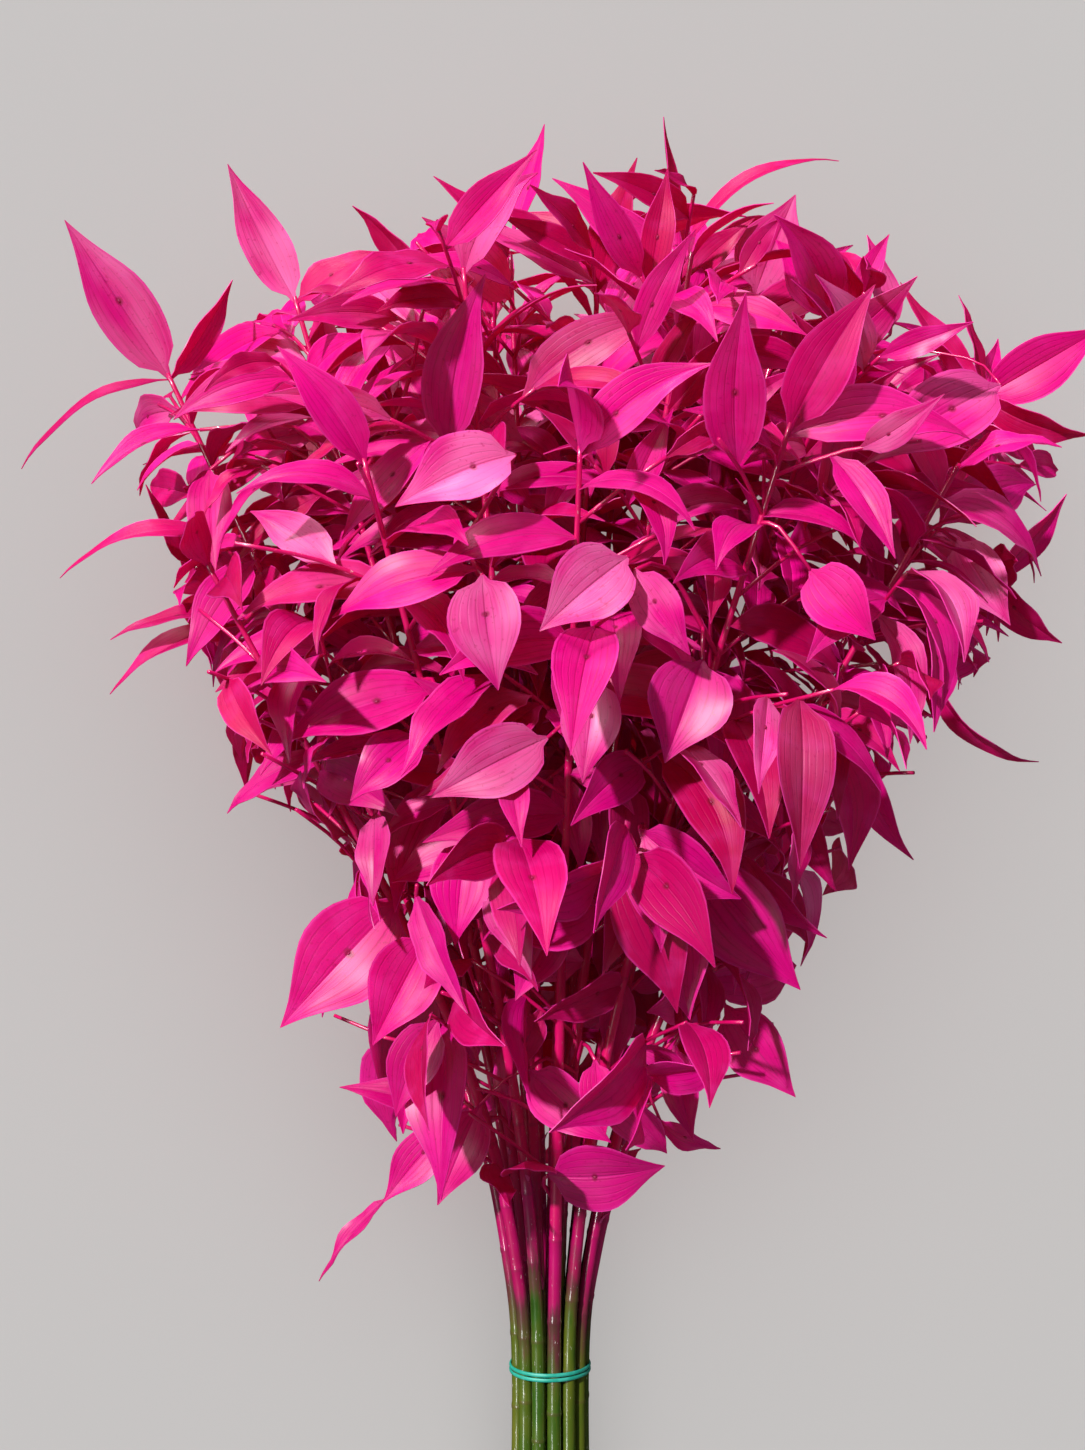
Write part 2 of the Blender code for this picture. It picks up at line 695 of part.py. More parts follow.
def twig_rings(twig, side, face):
    """Three-cornered rings along a twig, turned to run into a blade with this side and face at its end."""
    rings = []
    onward = facing = face.cross(side)
    for i in range(len(twig.points) - 1, -1, -1):
        behind = twig.place(max(i - 1, 0))[1]
        mitre = (behind + onward).normalized()
        bend = facing.rotation_difference(mitre)
        side, face, facing, onward = bend @ side, bend @ face, mitre, behind
        point, reach = twig.points[i], twig.radii[i] * TRIANGLE_GAIN
        flank, upper = side * reach * math.sqrt(3) / 2, point + face * reach / 2
        rings.insert(0, [upper + flank, upper - flank, point - face * reach])
    return rings


def blade_mesh(blade):
    """Corners and faces of a blade, flat across with a keel along its back, and of the twig that it ends."""
    side, face = blade.sides[0], blade.faces[0]
    if blade.carrier:
        rings = twig_rings(blade.carrier, side, face)
    else:
        run = blade.points[1] - blade.points[0]
        beyond = min(blade.root_radius + NECK_BEYOND_ROOT, 0.8 * run.length)
        neck = blade.points[0] + run.normalized() * beyond
        rings = [
            [blade.points[0] + side * FOOT, blade.points[0] - side * FOOT, blade.points[0] - face * FOOT],
            [neck + side * NECK, neck - side * NECK, neck - face * NECK],
        ]
    for i in blade.stations:
        half = blade.halves[i] * CHORD_GAIN
        point, side, face = blade.points[i], blade.sides[i], blade.faces[i]
        rise = face * blade.fold * blade.halves[i] * 0.5
        thin = 1 - KEEL_THINNING * i / BLADE_STEPS
        rings.append([point + side * half + rise, point - side * half + rise, point - face * KEEL * thin])
    for ring in rings:
        for corner in ring:
            corner.z = corner.z if corner.z > SETTLED else 0
    corners = [corner for ring in rings for corner in ring] + [blade.points[-1]]
    faces = [(2, 1, 0)]
    for i in range(len(rings) - 1):
        for j in range(3):
            k = (j + 1) % 3
            faces.append((i * 3 + j, i * 3 + k, i * 3 + 3 + k, i * 3 + 3 + j))
    last = 3 * (len(rings) - 1)
    faces += [(last + j, last + (j + 1) % 3, len(corners) - 1) for j in range(3)]
    return corners, faces


def solid(corners, faces, offset):
    """A closed shape of triangles that face outwards."""
    shape = bmesh.new()
    made = [shape.verts.new(corner + offset) for corner in corners]
    for face in faces:
        shape.faces.new([made[i] for i in face])
    bmesh.ops.triangulate(shape, faces=shape.faces)
    if shape.calc_volume(signed=True) < 0:
        bmesh.ops.reverse_faces(shape, faces=shape.faces)
    return shape


def folds_onto_itself(blade):
    """Whether a blade turns or bends so sharply that its faces cross."""
    for here, there in zip((0, *blade.stations), blade.stations):
        if blade.sides[here].angle(blade.sides[there]) > SHARPEST_TURN:
            return True
    shape = solid(*blade_mesh(blade), Vector())
    shape.faces.ensure_lookup_table()
    tree = BVHTree.FromBMesh(shape)
    found = any(
        not set(shape.faces[i].verts) & set(shape.faces[j].verts) for i, j in tree.overlap(tree) if i < j
    )
    shape.free()
    return found


def mesh_object(name, corners, faces, collection, offset):
    mesh = bpy.data.meshes.new(name)
    shape = solid(corners, faces, offset)
    shape.to_mesh(mesh)
    shape.free()
    made = bpy.data.objects.new(name, mesh)
    collection.objects.link(made)
    return made


def tube_object(name, points, radii, collection, offset, cyclic=False):
    """A round stem, twig or band as a mesh, from a curve with a round bevel."""
    curve = bpy.data.curves.new(name, "CURVE")
    curve.dimensions = "3D"
    curve.bevel_depth = 1
    curve.bevel_resolution = 1
    curve.use_fill_caps = not cyclic
    spline = curve.splines.new("POLY")
    spline.points.add(len(points) - 1)
    for spot, point, radius in zip(spline.points, points, radii, strict=True):
        spot.co = (*(point + offset), 1)
        spot.radius = radius
    spline.use_cyclic_u = cyclic
    guide = bpy.data.objects.new(name + " line", curve)
    collection.objects.link(guide)
    bpy.context.view_layer.update()
    mesh = bpy.data.meshes.new_from_object(guide.evaluated_get(bpy.context.evaluated_depsgraph_get()))
    shape = bmesh.new()
    shape.from_mesh(mesh)
    bmesh.ops.remove_doubles(shape, verts=shape.verts, dist=1e-6)
    bmesh.ops.triangulate(shape, faces=shape.faces)
    bmesh.ops.recalc_face_normals(shape, faces=shape.faces)
    shape.to_mesh(mesh)
    shape.free()
    made = bpy.data.objects.new(name, mesh)
    collection.objects.link(made)
    bpy.data.objects.remove(guide)
    return made


def material(name, colour, roughness):
    made = bpy.data.materials.new(name)
    made.use_nodes = True
    shader = made.node_tree.nodes["Principled BSDF"]
    shader.inputs["Base Color"].default_value = (*colour, 1)
    shader.inputs["Roughness"].default_value = roughness
    return made


def merge_flat_faces(mesh):
    """Merges neighbouring faces that lie in one plane, where that leaves the solid closed."""
    shape = bmesh.new()
    shape.from_mesh(mesh)
    bmesh.ops.dissolve_limit(shape, angle_limit=FLAT_ENOUGH, verts=shape.verts, edges=shape.edges)
    bmesh.ops.triangulate(shape, faces=shape.faces)
    if all(len(edge.link_faces) == 2 for edge in shape.edges):
        shape.to_mesh(mesh)
    shape.free()


def join_all(target, pieces):
    """Joins a collection of pieces to their main stem and removes them."""
    union = target.modifiers.new("grown together", "BOOLEAN")
    union.operation = "UNION"
    union.operand_type = "COLLECTION"
    union.collection = pieces
    union.solver = "MANIFOLD"
    bpy.context.view_layer.update()
    joined = bpy.data.meshes.new_from_object(target.evaluated_get(bpy.context.evaluated_depsgraph_get()))
    target.modifiers.remove(union)
    merge_flat_faces(joined)
    target.data = joined
    for piece in list(pieces.objects):
        bpy.data.objects.remove(piece)


def centring(bunch):
    """The move that brings the middle of the bunch's outline over the origin."""
    corners = [corner for blade in bunch.blades for corner in blade_mesh(blade)[0]]
    corners += [point for stem in bunch.stems for point in stem.points]
    low = [min(c[k] for c in corners) for k in range(2)]
    high = [max(c[k] for c in corners) for k in range(2)]
    return Vector((-(low[0] + high[0]) / 2, -(low[1] + high[1]) / 2, 0))


def band_points():
    """A closed loop that goes twice round the stems: one pass hugs them while the other crosses over it."""
    wall = STEM_RINGS[-1][1] + STEM_RADIUS + BAND_CLEARANCE
    out, up = BAND_SPREAD
    points = []
    for i in range(BAND_POINTS):
        angle = 4 * math.pi * i / BAND_POINTS
        over = math.cos(angle / 2)
        radius = wall + BAND_RADIUS + out * (over + abs(over))
        u, w = radius * math.cos(angle), radius * math.sin(angle)
        points.append(bunch_point(u, up * math.sin(angle / 2), w))
    return points


def main():
    for old in list(bpy.data.objects):
        bpy.data.objects.remove(old)
    scene = bpy.context.scene
    parts = bpy.data.collections.new("ruscus bunch")
    pieces = bpy.data.collections.new("pieces to join")
    scene.collection.children.link(parts)
    scene.collection.children.link(pieces)
    dyed = material("dyed ruscus", (0.72, 0.006, 0.17), 0.42)
    rubber = material("teal rubber", (0.02, 0.42, 0.33), 0.55)
    bunch = Bunch()
    offset = centring(bunch)
    ended = [id(blade.carrier) for blade in bunch.blades if blade.carrier]
    for number, stem in enumerate(bunch.stems):
        name = f"leafy_stem_{number + 1:02d}"
        target = tube_object(name, stem.points, stem.radii, parts, offset)
        for k, twig in enumerate(t for t in bunch.twigs if t.stem == number and id(t) not in ended):
            mesh_object(f"twig {number} {k}", *ring_solid(twig_rings(twig, RIGHT, OUTWARD)), pieces, offset)
        for k, blade in enumerate(b for b in bunch.blades if b.stem == number):
            mesh_object(f"blade {number} {k}", *blade_mesh(blade), pieces, offset)
        join_all(target, pieces)
        target.data.materials.clear()
        target.data.materials.append(dyed)
    band = tube_object("rubber_band", band_points(), [BAND_RADIUS] * BAND_POINTS, parts, offset, cyclic=True)
    band.data.materials.append(rubber)


if __name__ == "__main__":
    main()
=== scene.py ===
"""A tied bunch of dyed ruscus stems, modelled leaf by leaf and dressed in its finishes.

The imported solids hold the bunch's place and size. This script grows the same stems, twigs and leaves by the
same rule, gives them thin curved blades, smooth bark and cut ends, and fills the crown out with more leaves.
Metres, +Z up. The bunch's own axes lean back from the floor: u to the right, v along the stems from the band
to the tips, and w out of the bunch towards the viewer.
"""

import logging
import math
import random
from collections.abc import Iterable, Iterator, Mapping, Sequence
from dataclasses import dataclass, field, replace
from enum import Enum

import bmesh
import bpy
import numpy as np
from mathutils import Matrix, Quaternion, Vector
from mathutils.bvhtree import BVHTree

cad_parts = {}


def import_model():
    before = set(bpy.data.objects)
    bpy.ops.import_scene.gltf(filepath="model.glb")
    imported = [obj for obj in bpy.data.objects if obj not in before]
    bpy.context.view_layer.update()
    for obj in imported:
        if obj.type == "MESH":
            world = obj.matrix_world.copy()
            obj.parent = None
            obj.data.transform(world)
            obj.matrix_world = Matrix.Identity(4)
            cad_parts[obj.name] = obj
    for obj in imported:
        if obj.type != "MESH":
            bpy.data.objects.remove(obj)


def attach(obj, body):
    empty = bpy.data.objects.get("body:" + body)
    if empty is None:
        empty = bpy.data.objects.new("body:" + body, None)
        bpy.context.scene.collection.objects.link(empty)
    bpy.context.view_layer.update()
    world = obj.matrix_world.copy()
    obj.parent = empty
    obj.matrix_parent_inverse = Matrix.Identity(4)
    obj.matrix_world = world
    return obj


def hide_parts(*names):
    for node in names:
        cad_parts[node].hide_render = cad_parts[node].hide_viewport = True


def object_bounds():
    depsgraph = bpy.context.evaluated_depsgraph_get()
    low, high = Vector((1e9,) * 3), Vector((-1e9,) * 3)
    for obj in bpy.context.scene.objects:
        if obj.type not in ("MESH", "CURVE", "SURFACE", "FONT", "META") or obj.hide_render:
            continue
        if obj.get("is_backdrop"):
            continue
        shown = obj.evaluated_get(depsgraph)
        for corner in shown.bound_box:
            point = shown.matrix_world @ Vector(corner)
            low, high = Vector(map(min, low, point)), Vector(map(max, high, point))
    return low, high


log = logging.getLogger("ruscus")

MM = 0.001

# A guard or a plain solid: its corners, and its faces as numbers of corners
Shell = tuple[list[Vector], list[tuple[int, ...]]]


class Tint(Enum):
    """How the dye has taken on a leaf, partly painted light: crimson also stands for shade and light from
    behind, pale for sheen.
    """

    DRAWN = 0
    PINK = 1
    CRIMSON = 2
    PALE = 3


# The outline that all the other leaves stay within, in millimetres as the viewer sees it: v, left u, right u
OUTLINE = (
    (54, -20, 20),
    (66, -52, 36),
    (90, -66, 62),
    (126, -70, 88),
    (146, -104, 100),
    (166, -100, 104),
    (206, -78, 124),
    (228, -122, 140),
    (266, -132, 164),
    (306, -154, 196),
    (366, -172, 206),
    (402, -146, 206),
    (426, -104, 166),
    (450, -56, 128),
    (478, -20, 60),
    (492, 0, 20),
)


@dataclass(frozen=True)
class StemSizes:
    """Sizes of the main stems, and the way they lean and fan out."""

    cut_length: float = 112 * MM
    cut_variation: float = 5 * MM
    radius: float = 2.35 * MM
    end_radius: float = 0.95 * MM
    rings: tuple[tuple[int, float, float], ...] = ((3, 2.95 * MM, 90), (8, 8.0 * MM, 26), (13, 13.03 * MM, 0))
    cut_splay: float = 1.12
    lean: float = math.radians(12)
    steps: int = 8
    knee_rise: float = 130 * MM
    knee_spread: float = 0.44
    shoulder_share: float = 0.63
    shoulder_bulge: float = 0.12


@dataclass(frozen=True)
class TwigHabit:
    """Sizes of the side twigs, and how they leave the stems or reach out to a leaf."""

    radius: float = 1.15 * MM
    end_radius: float = 0.75 * MM
    taper: float = 0.85
    half_steps: int = 5
    lengths: tuple[float, float] = (46 * MM, 86 * MM)
    spacings: tuple[float, float] = (72 * MM, 44 * MM)
    spacing_variation: tuple[float, float] = (0.8, 1.25)
    lowest: tuple[float, float, float] = (230 * MM, 180 * MM, 100 * MM)
    lowest_variation: float = 40 * MM
    leafy_length: float = 420 * MM
    angle: float = math.radians(46)
    swing: float = math.radians(100)
    droops: tuple[float, float] = (0.1, 0.5)
    golden_angle: float = math.radians(137.5)
    looks_per_run: int = 4
    looks_left_off: int = 5
    retry_turn: float = 0.7
    root_share: float = 0.2
    longest_reach: float = 125 * MM
    near_enough: float = 3.5 * MM
    near_an_end: float = 9 * MM
    lowest_run_on_a_stem: int = 2
    carrier_shares: tuple[float, float] = (0.3, 0.7)
    angle_cost: float = 1.2
    most_carriers: int = 200
    elbow_along: float = 0.14
    elbow_back: float = 0.18
    reach_root_share: float = 0.35
    radii_above_floor: int = 4
    joint_radii_above_floor: int = 3


@dataclass(frozen=True)
class LeafHabit:
    """Sizes of the leaf blades, and how they sit, bend and droop.

    Places are runs of a twig's centre line. Splays, curls, droops, sway and twist are in degrees.
    """

    steps: int = 12
    shown_stations: tuple[int, ...] = (3, 6, 9)
    other_stations: tuple[int, ...] = (3, 8)
    lengths: tuple[float, float] = (48 * MM, 68 * MM)
    low_slenderness: tuple[float, float] = (0.4, 0.54)
    high_slenderness: tuple[float, float] = (0.29, 0.4)
    belly: float = 0.65
    point: float = 1.2
    keel: float = 1.1 * MM
    keel_thinning: float = 0.4
    foot: float = 0.5 * MM
    neck: float = 0.75 * MM
    neck_beyond_root: float = 1.4 * MM
    neck_share: float = 0.8
    plain_fold: float = 0.5
    chord_gain: float = 1.06
    triangle_gain: float = 1.25
    sunk: float = 2.5 * MM
    places_on_a_twig: tuple[float, ...] = (2, 1.55, 1.1, 0.65)
    places_from_an_end: tuple[float, ...] = (0, 0.3, 0.65, 1.05, 1.45, 1.9)
    hands: tuple[int, ...] = (0, 1, -1, 1, -1, 1)
    splays: tuple[float, float] = (30, 62)
    pulls_out: tuple[float, float] = (0.15, 0.6)
    pulls_down: tuple[float, float] = (0.15, 0.65)
    wander: float = 0.12
    wander_growth: float = 0.3
    face_wander: float = 0.35
    curls: tuple[float, float] = (10, 50)
    droops: tuple[float, float] = (10, 60)
    hang_share: float = 0.5
    sway: float = 22
    twist: float = 20
    folds: tuple[float, float] = (0.05, 0.2)
    crown: tuple[float, float] = (330 * MM, 440 * MM)
    crown_stiffness: float = 0.75
    lower: tuple[float, float] = (100 * MM, 350 * MM)
    outlined_from: int = 4


@dataclass(frozen=True)
class Elbowroom:
    """The floor's rule for what reaches it, the room round each piece, and how often a piece is tried."""

    ease: float = 6 * MM
    settled: float = 0.5 * MM
    steepest: float = 0.98
    room: float = 0.9 * MM
    edge: float = 0.7 * MM
    twig_share: float = 0.5
    twig_gain: float = 1.3
    twig_slant: float = 0.3
    tries: int = 14
    shown_tries: int = 27
    shown_wander: float = 0.04
    blade_shortening: float = 0.025
    twig_shortening: float = 0.04
    sharpest_turn: float = math.radians(40)


@dataclass(frozen=True)
class Filling:
    """The leaves and thin twigs that fill the bunch out beyond its solids.

    Front gives, in millimetres, the depth past which the listed leaves lie, by the way up the stems.
    Rows give the outline that the filling leaves stay within, as OUTLINE does.
    """

    room: float = 0.35 * MM
    under: float = 0.35 * MM
    edge: float = 0.25 * MM
    lowest: tuple[float, float, float] = (150 * MM, 115 * MM, 75 * MM)
    front: tuple[tuple[float, float], ...] = (
        (70, -10),
        (120, 0),
        (200, 30),
        (270, 55),
        (350, 75),
        (400, 130),
    )
    front_share: float = 0.3
    crown_starts: float = 330 * MM
    crown_crowding: float = 0.55
    erect_share: float = 0.7
    tuft_places: tuple[float, ...] = (0, 0.05, 0.12, 0.2, 0.3, 0.42, 0.55, 0.7)
    spacing: tuple[float, float] = (12 * MM, 19 * MM)
    places_on_a_twig: tuple[float, ...] = (1.8, 1.34, 0.9, 0.5)
    places_on_a_new_twig: tuple[float, ...] = (2, 1.6, 1.2, 0.8, 0.45)
    twig_spacing: tuple[float, float] = (18 * MM, 34 * MM)
    twig_lengths: tuple[float, float] = (30 * MM, 74 * MM)
    lengths: tuple[float, float] = (38 * MM, 66 * MM)
    crown_lengths: tuple[float, float] = (46 * MM, 76 * MM)
    crown_slenderness: tuple[float, float] = (0.24, 0.36)
    tries: int = 16
    last_leaf: float = 0.05
    last_twig: float = 0.3
    rows: tuple[tuple[float, float, float], ...] = (
        (62, -16, 24),
        (84, -30, 42),
        (112, -38, 56),
        (140, -52, 74),
        (166, -84, 84),
        (206, -76, 112),
        (228, -116, 132),
        *(row for row in OUTLINE if row[0] > 240),
    )
    box_margin: float = 1.5 * MM


STEM = StemSizes()
TWIG = TwigHabit()
LEAF = LeafHabit()
ROOM = Elbowroom()
FILL = Filling()

# Where each main stem ends, in millimetres as (u, v, w), ring by ring from the middle
STEM_ENDS: tuple[tuple[float, float, float], ...] = (
    (20, 452, 22),
    (-16, 446, -8),
    (54, 448, 2),
    (118, 420, 34),
    (52, 430, 64),
    (-32, 424, 66),
    (-98, 420, 34),
    (-70, 412, -24),
    (-24, 428, -46),
    (34, 434, -50),
    (96, 424, -22),
    (176, 316, 12),
    (150, 352, 66),
    (84, 362, 100),
    (10, 352, 112),
    (-66, 350, 96),
    (-126, 316, 70),
    (-148, 392, 26),
    (-146, 322, -22),
    (-104, 366, -58),
    (-46, 388, -78),
    (24, 392, -84),
    (90, 384, -72),
    (181, 394, -30),
)

# Leaves that give the bunch its outline and its front, in millimetres as the viewer sees them in the plane
# through the band's middle: base (u, v), tip (u, v), the w of each, width, and in degrees the roll from
# facing the viewer and the curl
SHOWN_BLADES = (
    # The left shoulder
    ((-155, 402), (-194, 458), 26, 40, 24, 10, 12),
    ((-146, 396), (-138, 441), 26, 30, 12, 50, 20),
    ((-148, 391), (-213, 361), 26, 34, 13, 62, 60),
    ((-140, 374), (-184, 354), 34, 50, 14, 50, 50),
    ((-136, 358), (-134, 318), 34, 52, 18, 5, 30),
    ((-102, 424), (-129, 480), 34, 44, 19, 15, -25),
    ((-102, 420), (-72, 453), 30, 40, 18, -40, 35),
    ((-128, 330), (-197, 318), 0, 0, 15, 60, 70),
    ((-118, 322), (-146, 280), 30, 40, 19, 20, 35),
    ((-124, 296), (-177, 270), 10, 14, 14, 55, 50),
    ((-122, 297), (-176, 292), 10, 24, 13, 60, 50),
    ((-92, 288), (-134, 270), 30, 44, 20, 40, 30),
    # The crown
    ((-50, 426), (-78, 464), 66, 70, 15, -55, -45),
    ((-18, 452), (-46, 476), -8, 0, 13, 40, 30),
    ((-15, 453), (-2, 496), -8, -4, 17, -50, -15),
    ((-16, 426), (-50, 459), 20, 60, 20, 15, 40),
    ((20, 454), (22, 486), 22, 22, 11, 60, 10),
    ((21, 450), (44, 480), 22, 24, 13, -40, 20),
    ((54, 450), (45, 499), 2, 6, 11, 62, -15),
    ((56, 448), (114, 485), 2, 2, 13, -58, 75),
    ((82, 428), (98, 468), 10, 24, 27, -10, 20),
    ((116, 420), (111, 460), 34, 40, 22, 15, 10),
    ((136, 412), (127, 452), 0, 4, 15, 30, 10),
    ((176, 392), (164, 428), -30, -28, 11, 55, 20),
    ((178, 392), (175, 446), -30, -28, 16, 35, -10),
    ((176, 390), (206, 434), -30, -20, 24, 0, 20),
    # The right shoulder
    ((180, 392), (126, 361), 56, 74, 28, 12, 40),
    ((178, 384), (216, 372), -28, -28, 16, 50, 60),
    ((172, 318), (207, 348), 12, 14, 14, 40, 20),
    ((176, 316), (204, 288), 12, 16, 15, 45, 60),
    ((162, 330), (184, 296), 40, 48, 20, 10, 30),
    ((152, 276), (194, 239), 6, 4, 10, 62, 75),
    ((118, 262), (144, 201), 34, 30, 18, 42, 55),
    ((104, 318), (130, 290), 96, 104, 22, 10, 35),
    ((96, 232), (114, 189), 20, 22, 15, 30, 40),
    # The front
    ((-14, 364), (-62, 344), 112, 120, 26, 18, 45),
    ((31, 323), (-4, 294), 116, 128, 27, 8, 40),
    ((-27, 316), (-21, 270), 112, 118, 26, 10, 40),
    ((-30, 317), (-88, 300), 106, 100, 22, 30, 45),
    ((34, 318), (56, 284), 112, 116, 17, 10, 35),
    ((61, 282), (46, 241), 96, 104, 30, 0, 35),
    ((19, 275), (13, 233), 104, 110, 21, 5, 35),
    ((-46, 270), (-108, 250), 80, 84, 26, 30, 45),
    ((-1, 251), (-48, 227), 96, 102, 25, 5, 40),
    ((-52, 252), (-80, 226), 82, 92, 20, 20, 35),
    ((-74, 232), (-102, 208), 40, 44, 20, 35, 40),
    ((-88, 244), (-130, 222), 24, 26, 16, 45, 60),
    ((36, 214), (76, 186), 70, 78, 24, 20, 45),
    ((58, 200), (100, 150), 44, 54, 32, 8, 25),
    ((44, 190), (56, 138), 66, 74, 27, 0, 30),
    ((76, 206), (110, 170), 40, 42, 14, 45, 40),
    ((-33, 211), (-38, 168), 66, 74, 23, 5, 30),
    ((-28, 206), (-66, 206), 60, 58, 20, 40, 30),
    ((20, 184), (-24, 173), 66, 72, 31, 20, 50),
    ((-60, 186), (-108, 135), 40, 50, 37, 5, 25),
    ((-48, 172), (-71, 128), 46, 56, 27, 5, 30),
    ((5, 180), (-14, 146), 54, 60, 20, 15, 30),
    # Above the band
    ((70, 144), (98, 107), 24, 30, 24, 15, 30),
    ((18, 122), (22, 92), 48, 52, 14, 10, 20),
    ((50, 128), (57, 90), 36, 40, 15, 20, 35),
    ((-8, 118), (24, 89), 36, 48, 21, 5, 40),
    ((-1, 76), (46, 79), 30, 34, 28, 15, 45),
    ((44, 98), (68, 86), 16, 18, 12, 40, 40),
    ((-40, 100), (-84, 112), 10, 12, 15, 40, 45),
    ((-28, 104), (-45, 64), 28, 34, 20, 5, 20),
    ((-41, 96), (-67, 65), 12, 16, 18, 15, 25),
    ((-64, 68), (-93, 34), 6, 6, 8, 55, 25),
)
# How the dye, and partly painted light, colour those leaves, by their numbers in the list above; the others
# are pink
# There crimson is partly painted shade and light from behind, and pale is partly a painted sheen
SHOWN_TINTS = {
    Tint.CRIMSON: (2, 6, 7, 9, 10, 11, 12, 13, 16, 18, 19, 23, 24, 27, 29, 31, 34),
    Tint.PALE: (0, 5, 15, 20, 22, 26, 30, 35, 36, 37, 39, 41, 43, 49, 52, 56),
}

VIEW_DISTANCE = 805 * MM
VIEW_CENTRE = (-3 * MM, 256 * MM)


def bunch_point(u: float, v: float, w: float) -> Vector:
    """Gives the point at a place in the bunch's own leaning axes.

    Args:
        u: Metres to the right.
        v: Metres along the stems from the band.
        w: Metres out of the bunch.

    Returns:
        The point, before the bunch is centred.
    """
    height = (STEM.cut_length + STEM.cut_variation) * math.sin(STEM.lean) + STEM.rings[-1][1] * STEM.cut_splay
    height += STEM.radius
    along = v * math.cos(STEM.lean) - w * math.sin(STEM.lean)
    up = v * math.sin(STEM.lean) + w * math.cos(STEM.lean)
    return Vector((u, along, height + up))


BAND_MIDDLE = bunch_point(0, 0, 0)
ALONG = bunch_point(0, 1, 0) - BAND_MIDDLE
OUTWARD = bunch_point(0, 0, 1) - BAND_MIDDLE
RIGHT = Vector((1, 0, 0))
HANG = -ALONG
HEART = bunch_point(0, 250 * MM, 10 * MM)


def height_of(point: Vector) -> float:
    """How far up the stems from the band a point is, before the bunch is centred."""
    return (point - BAND_MIDDLE).dot(ALONG)


def square_to(axis: Vector, vector: Vector) -> Vector:
    """The direction square to an axis that comes nearest to a vector."""
    return (vector - axis * vector.dot(axis)).normalized()


def scatter(draw: random.Random, reach: float) -> Vector:
    """A random vector, each part of which is at most so large."""
    return Vector([draw.uniform(-reach, reach) for _ in range(3)])


def by_stem(values: Iterable[float]) -> list[float]:
    """A value for each main stem, from one for each ring of stems."""
    return [value for ring, value in zip(STEM.rings, values) for _ in range(ring[0])]


@dataclass
class Twig:
    """A main stem or side twig: its centre line from root to end, with its radius at each point."""

    stem: int
    points: list[Vector]
    radii: list[float]

    def place(self, at: float) -> tuple[Vector, Vector]:
        """Gives a place on the centre line.

        Args:
            at: Runs from the root, and a share of the next one.

        Returns:
            The point there and the way ahead.
        """
        run = min(int(at), len(self.points) - 2)
        here, there = self.points[run], self.points[run + 1]
        return here.lerp(there, at - run), (there - here).normalized()

    def number_of_runs(self) -> int:
        """The number of straight runs in the centre line."""
        return len(self.points) - 1

    def radius(self, at: float) -> float:
        """The radius at a place on the centre line."""
        run = min(int(at), len(self.points) - 2)
        return self.radii[run] + (self.radii[run + 1] - self.radii[run]) * (at - run)


@dataclass
class Blade:
    """A leaf blade: its centre line, and at each point the way to its edge, its face and its half width."""

    stem: int
    width: float
    length: float
    fold: float
    points: list[Vector] = field(default_factory=list)
    sides: list[Vector] = field(default_factory=list)
    faces: list[Vector] = field(default_factory=list)
    halves: list[float] = field(default_factory=list)
    stations: tuple[int, ...] = LEAF.other_stations
    root_radius: float = 0.0
    carrier: Twig | None = None
    shown: bool = False
    tint: Tint = Tint.DRAWN


def half_width(share: float, width: float) -> float:
    """Gives half a blade's width: a rounded foot, a broad belly and a drawn-out point.

    Args:
        share: The place along the blade, from 0 to 1.
        width: The blade's greatest width.

    Returns:
        Half its width at that place.
    """
    if share <= 0 or share >= 1:
        return 0.0
    widest = LEAF.belly / (LEAF.belly + LEAF.point)
    return width / 2 * (share / widest) ** LEAF.belly * ((1 - share) / (1 - widest)) ** LEAF.point


def stay_above(point: Vector, ahead: Vector, room: float) -> Vector:
    """Turns a direction so that it meets the floor at an easy angle and then runs along it.

    Args:
        point: Where the piece has got to.
        ahead: The way it goes.
        room: The height that it keeps above the floor.

    Returns:
        The direction to take.
    """
    steepest = -max(point.z - room, 0) / ROOM.ease
    if ahead.z >= steepest:
        return ahead
    level = Vector((ahead.x, ahead.y, 0))
    if level.length < 1 - ROOM.steepest:
        level = Vector((point.x, point.y - HEART.y, 0))
    level.normalize()
    steepest = max(steepest, -ROOM.steepest)
    return level * math.sqrt(1 - steepest**2) + Vector((0, 0, steepest))


def turn(vector: Vector, axis: Vector, angle: float) -> Vector:
    """A vector turned about an axis."""
    return Quaternion(axis, angle) @ vector


@dataclass(frozen=True)
class Bends:
    """How a blade bends from foot to point, in radians, and how deeply it is folded."""

    curl: float = 0.0
    droop: float = 0.0
    sway: float = 0.0
    twist: float = 0.0
    fold: float = 0.12


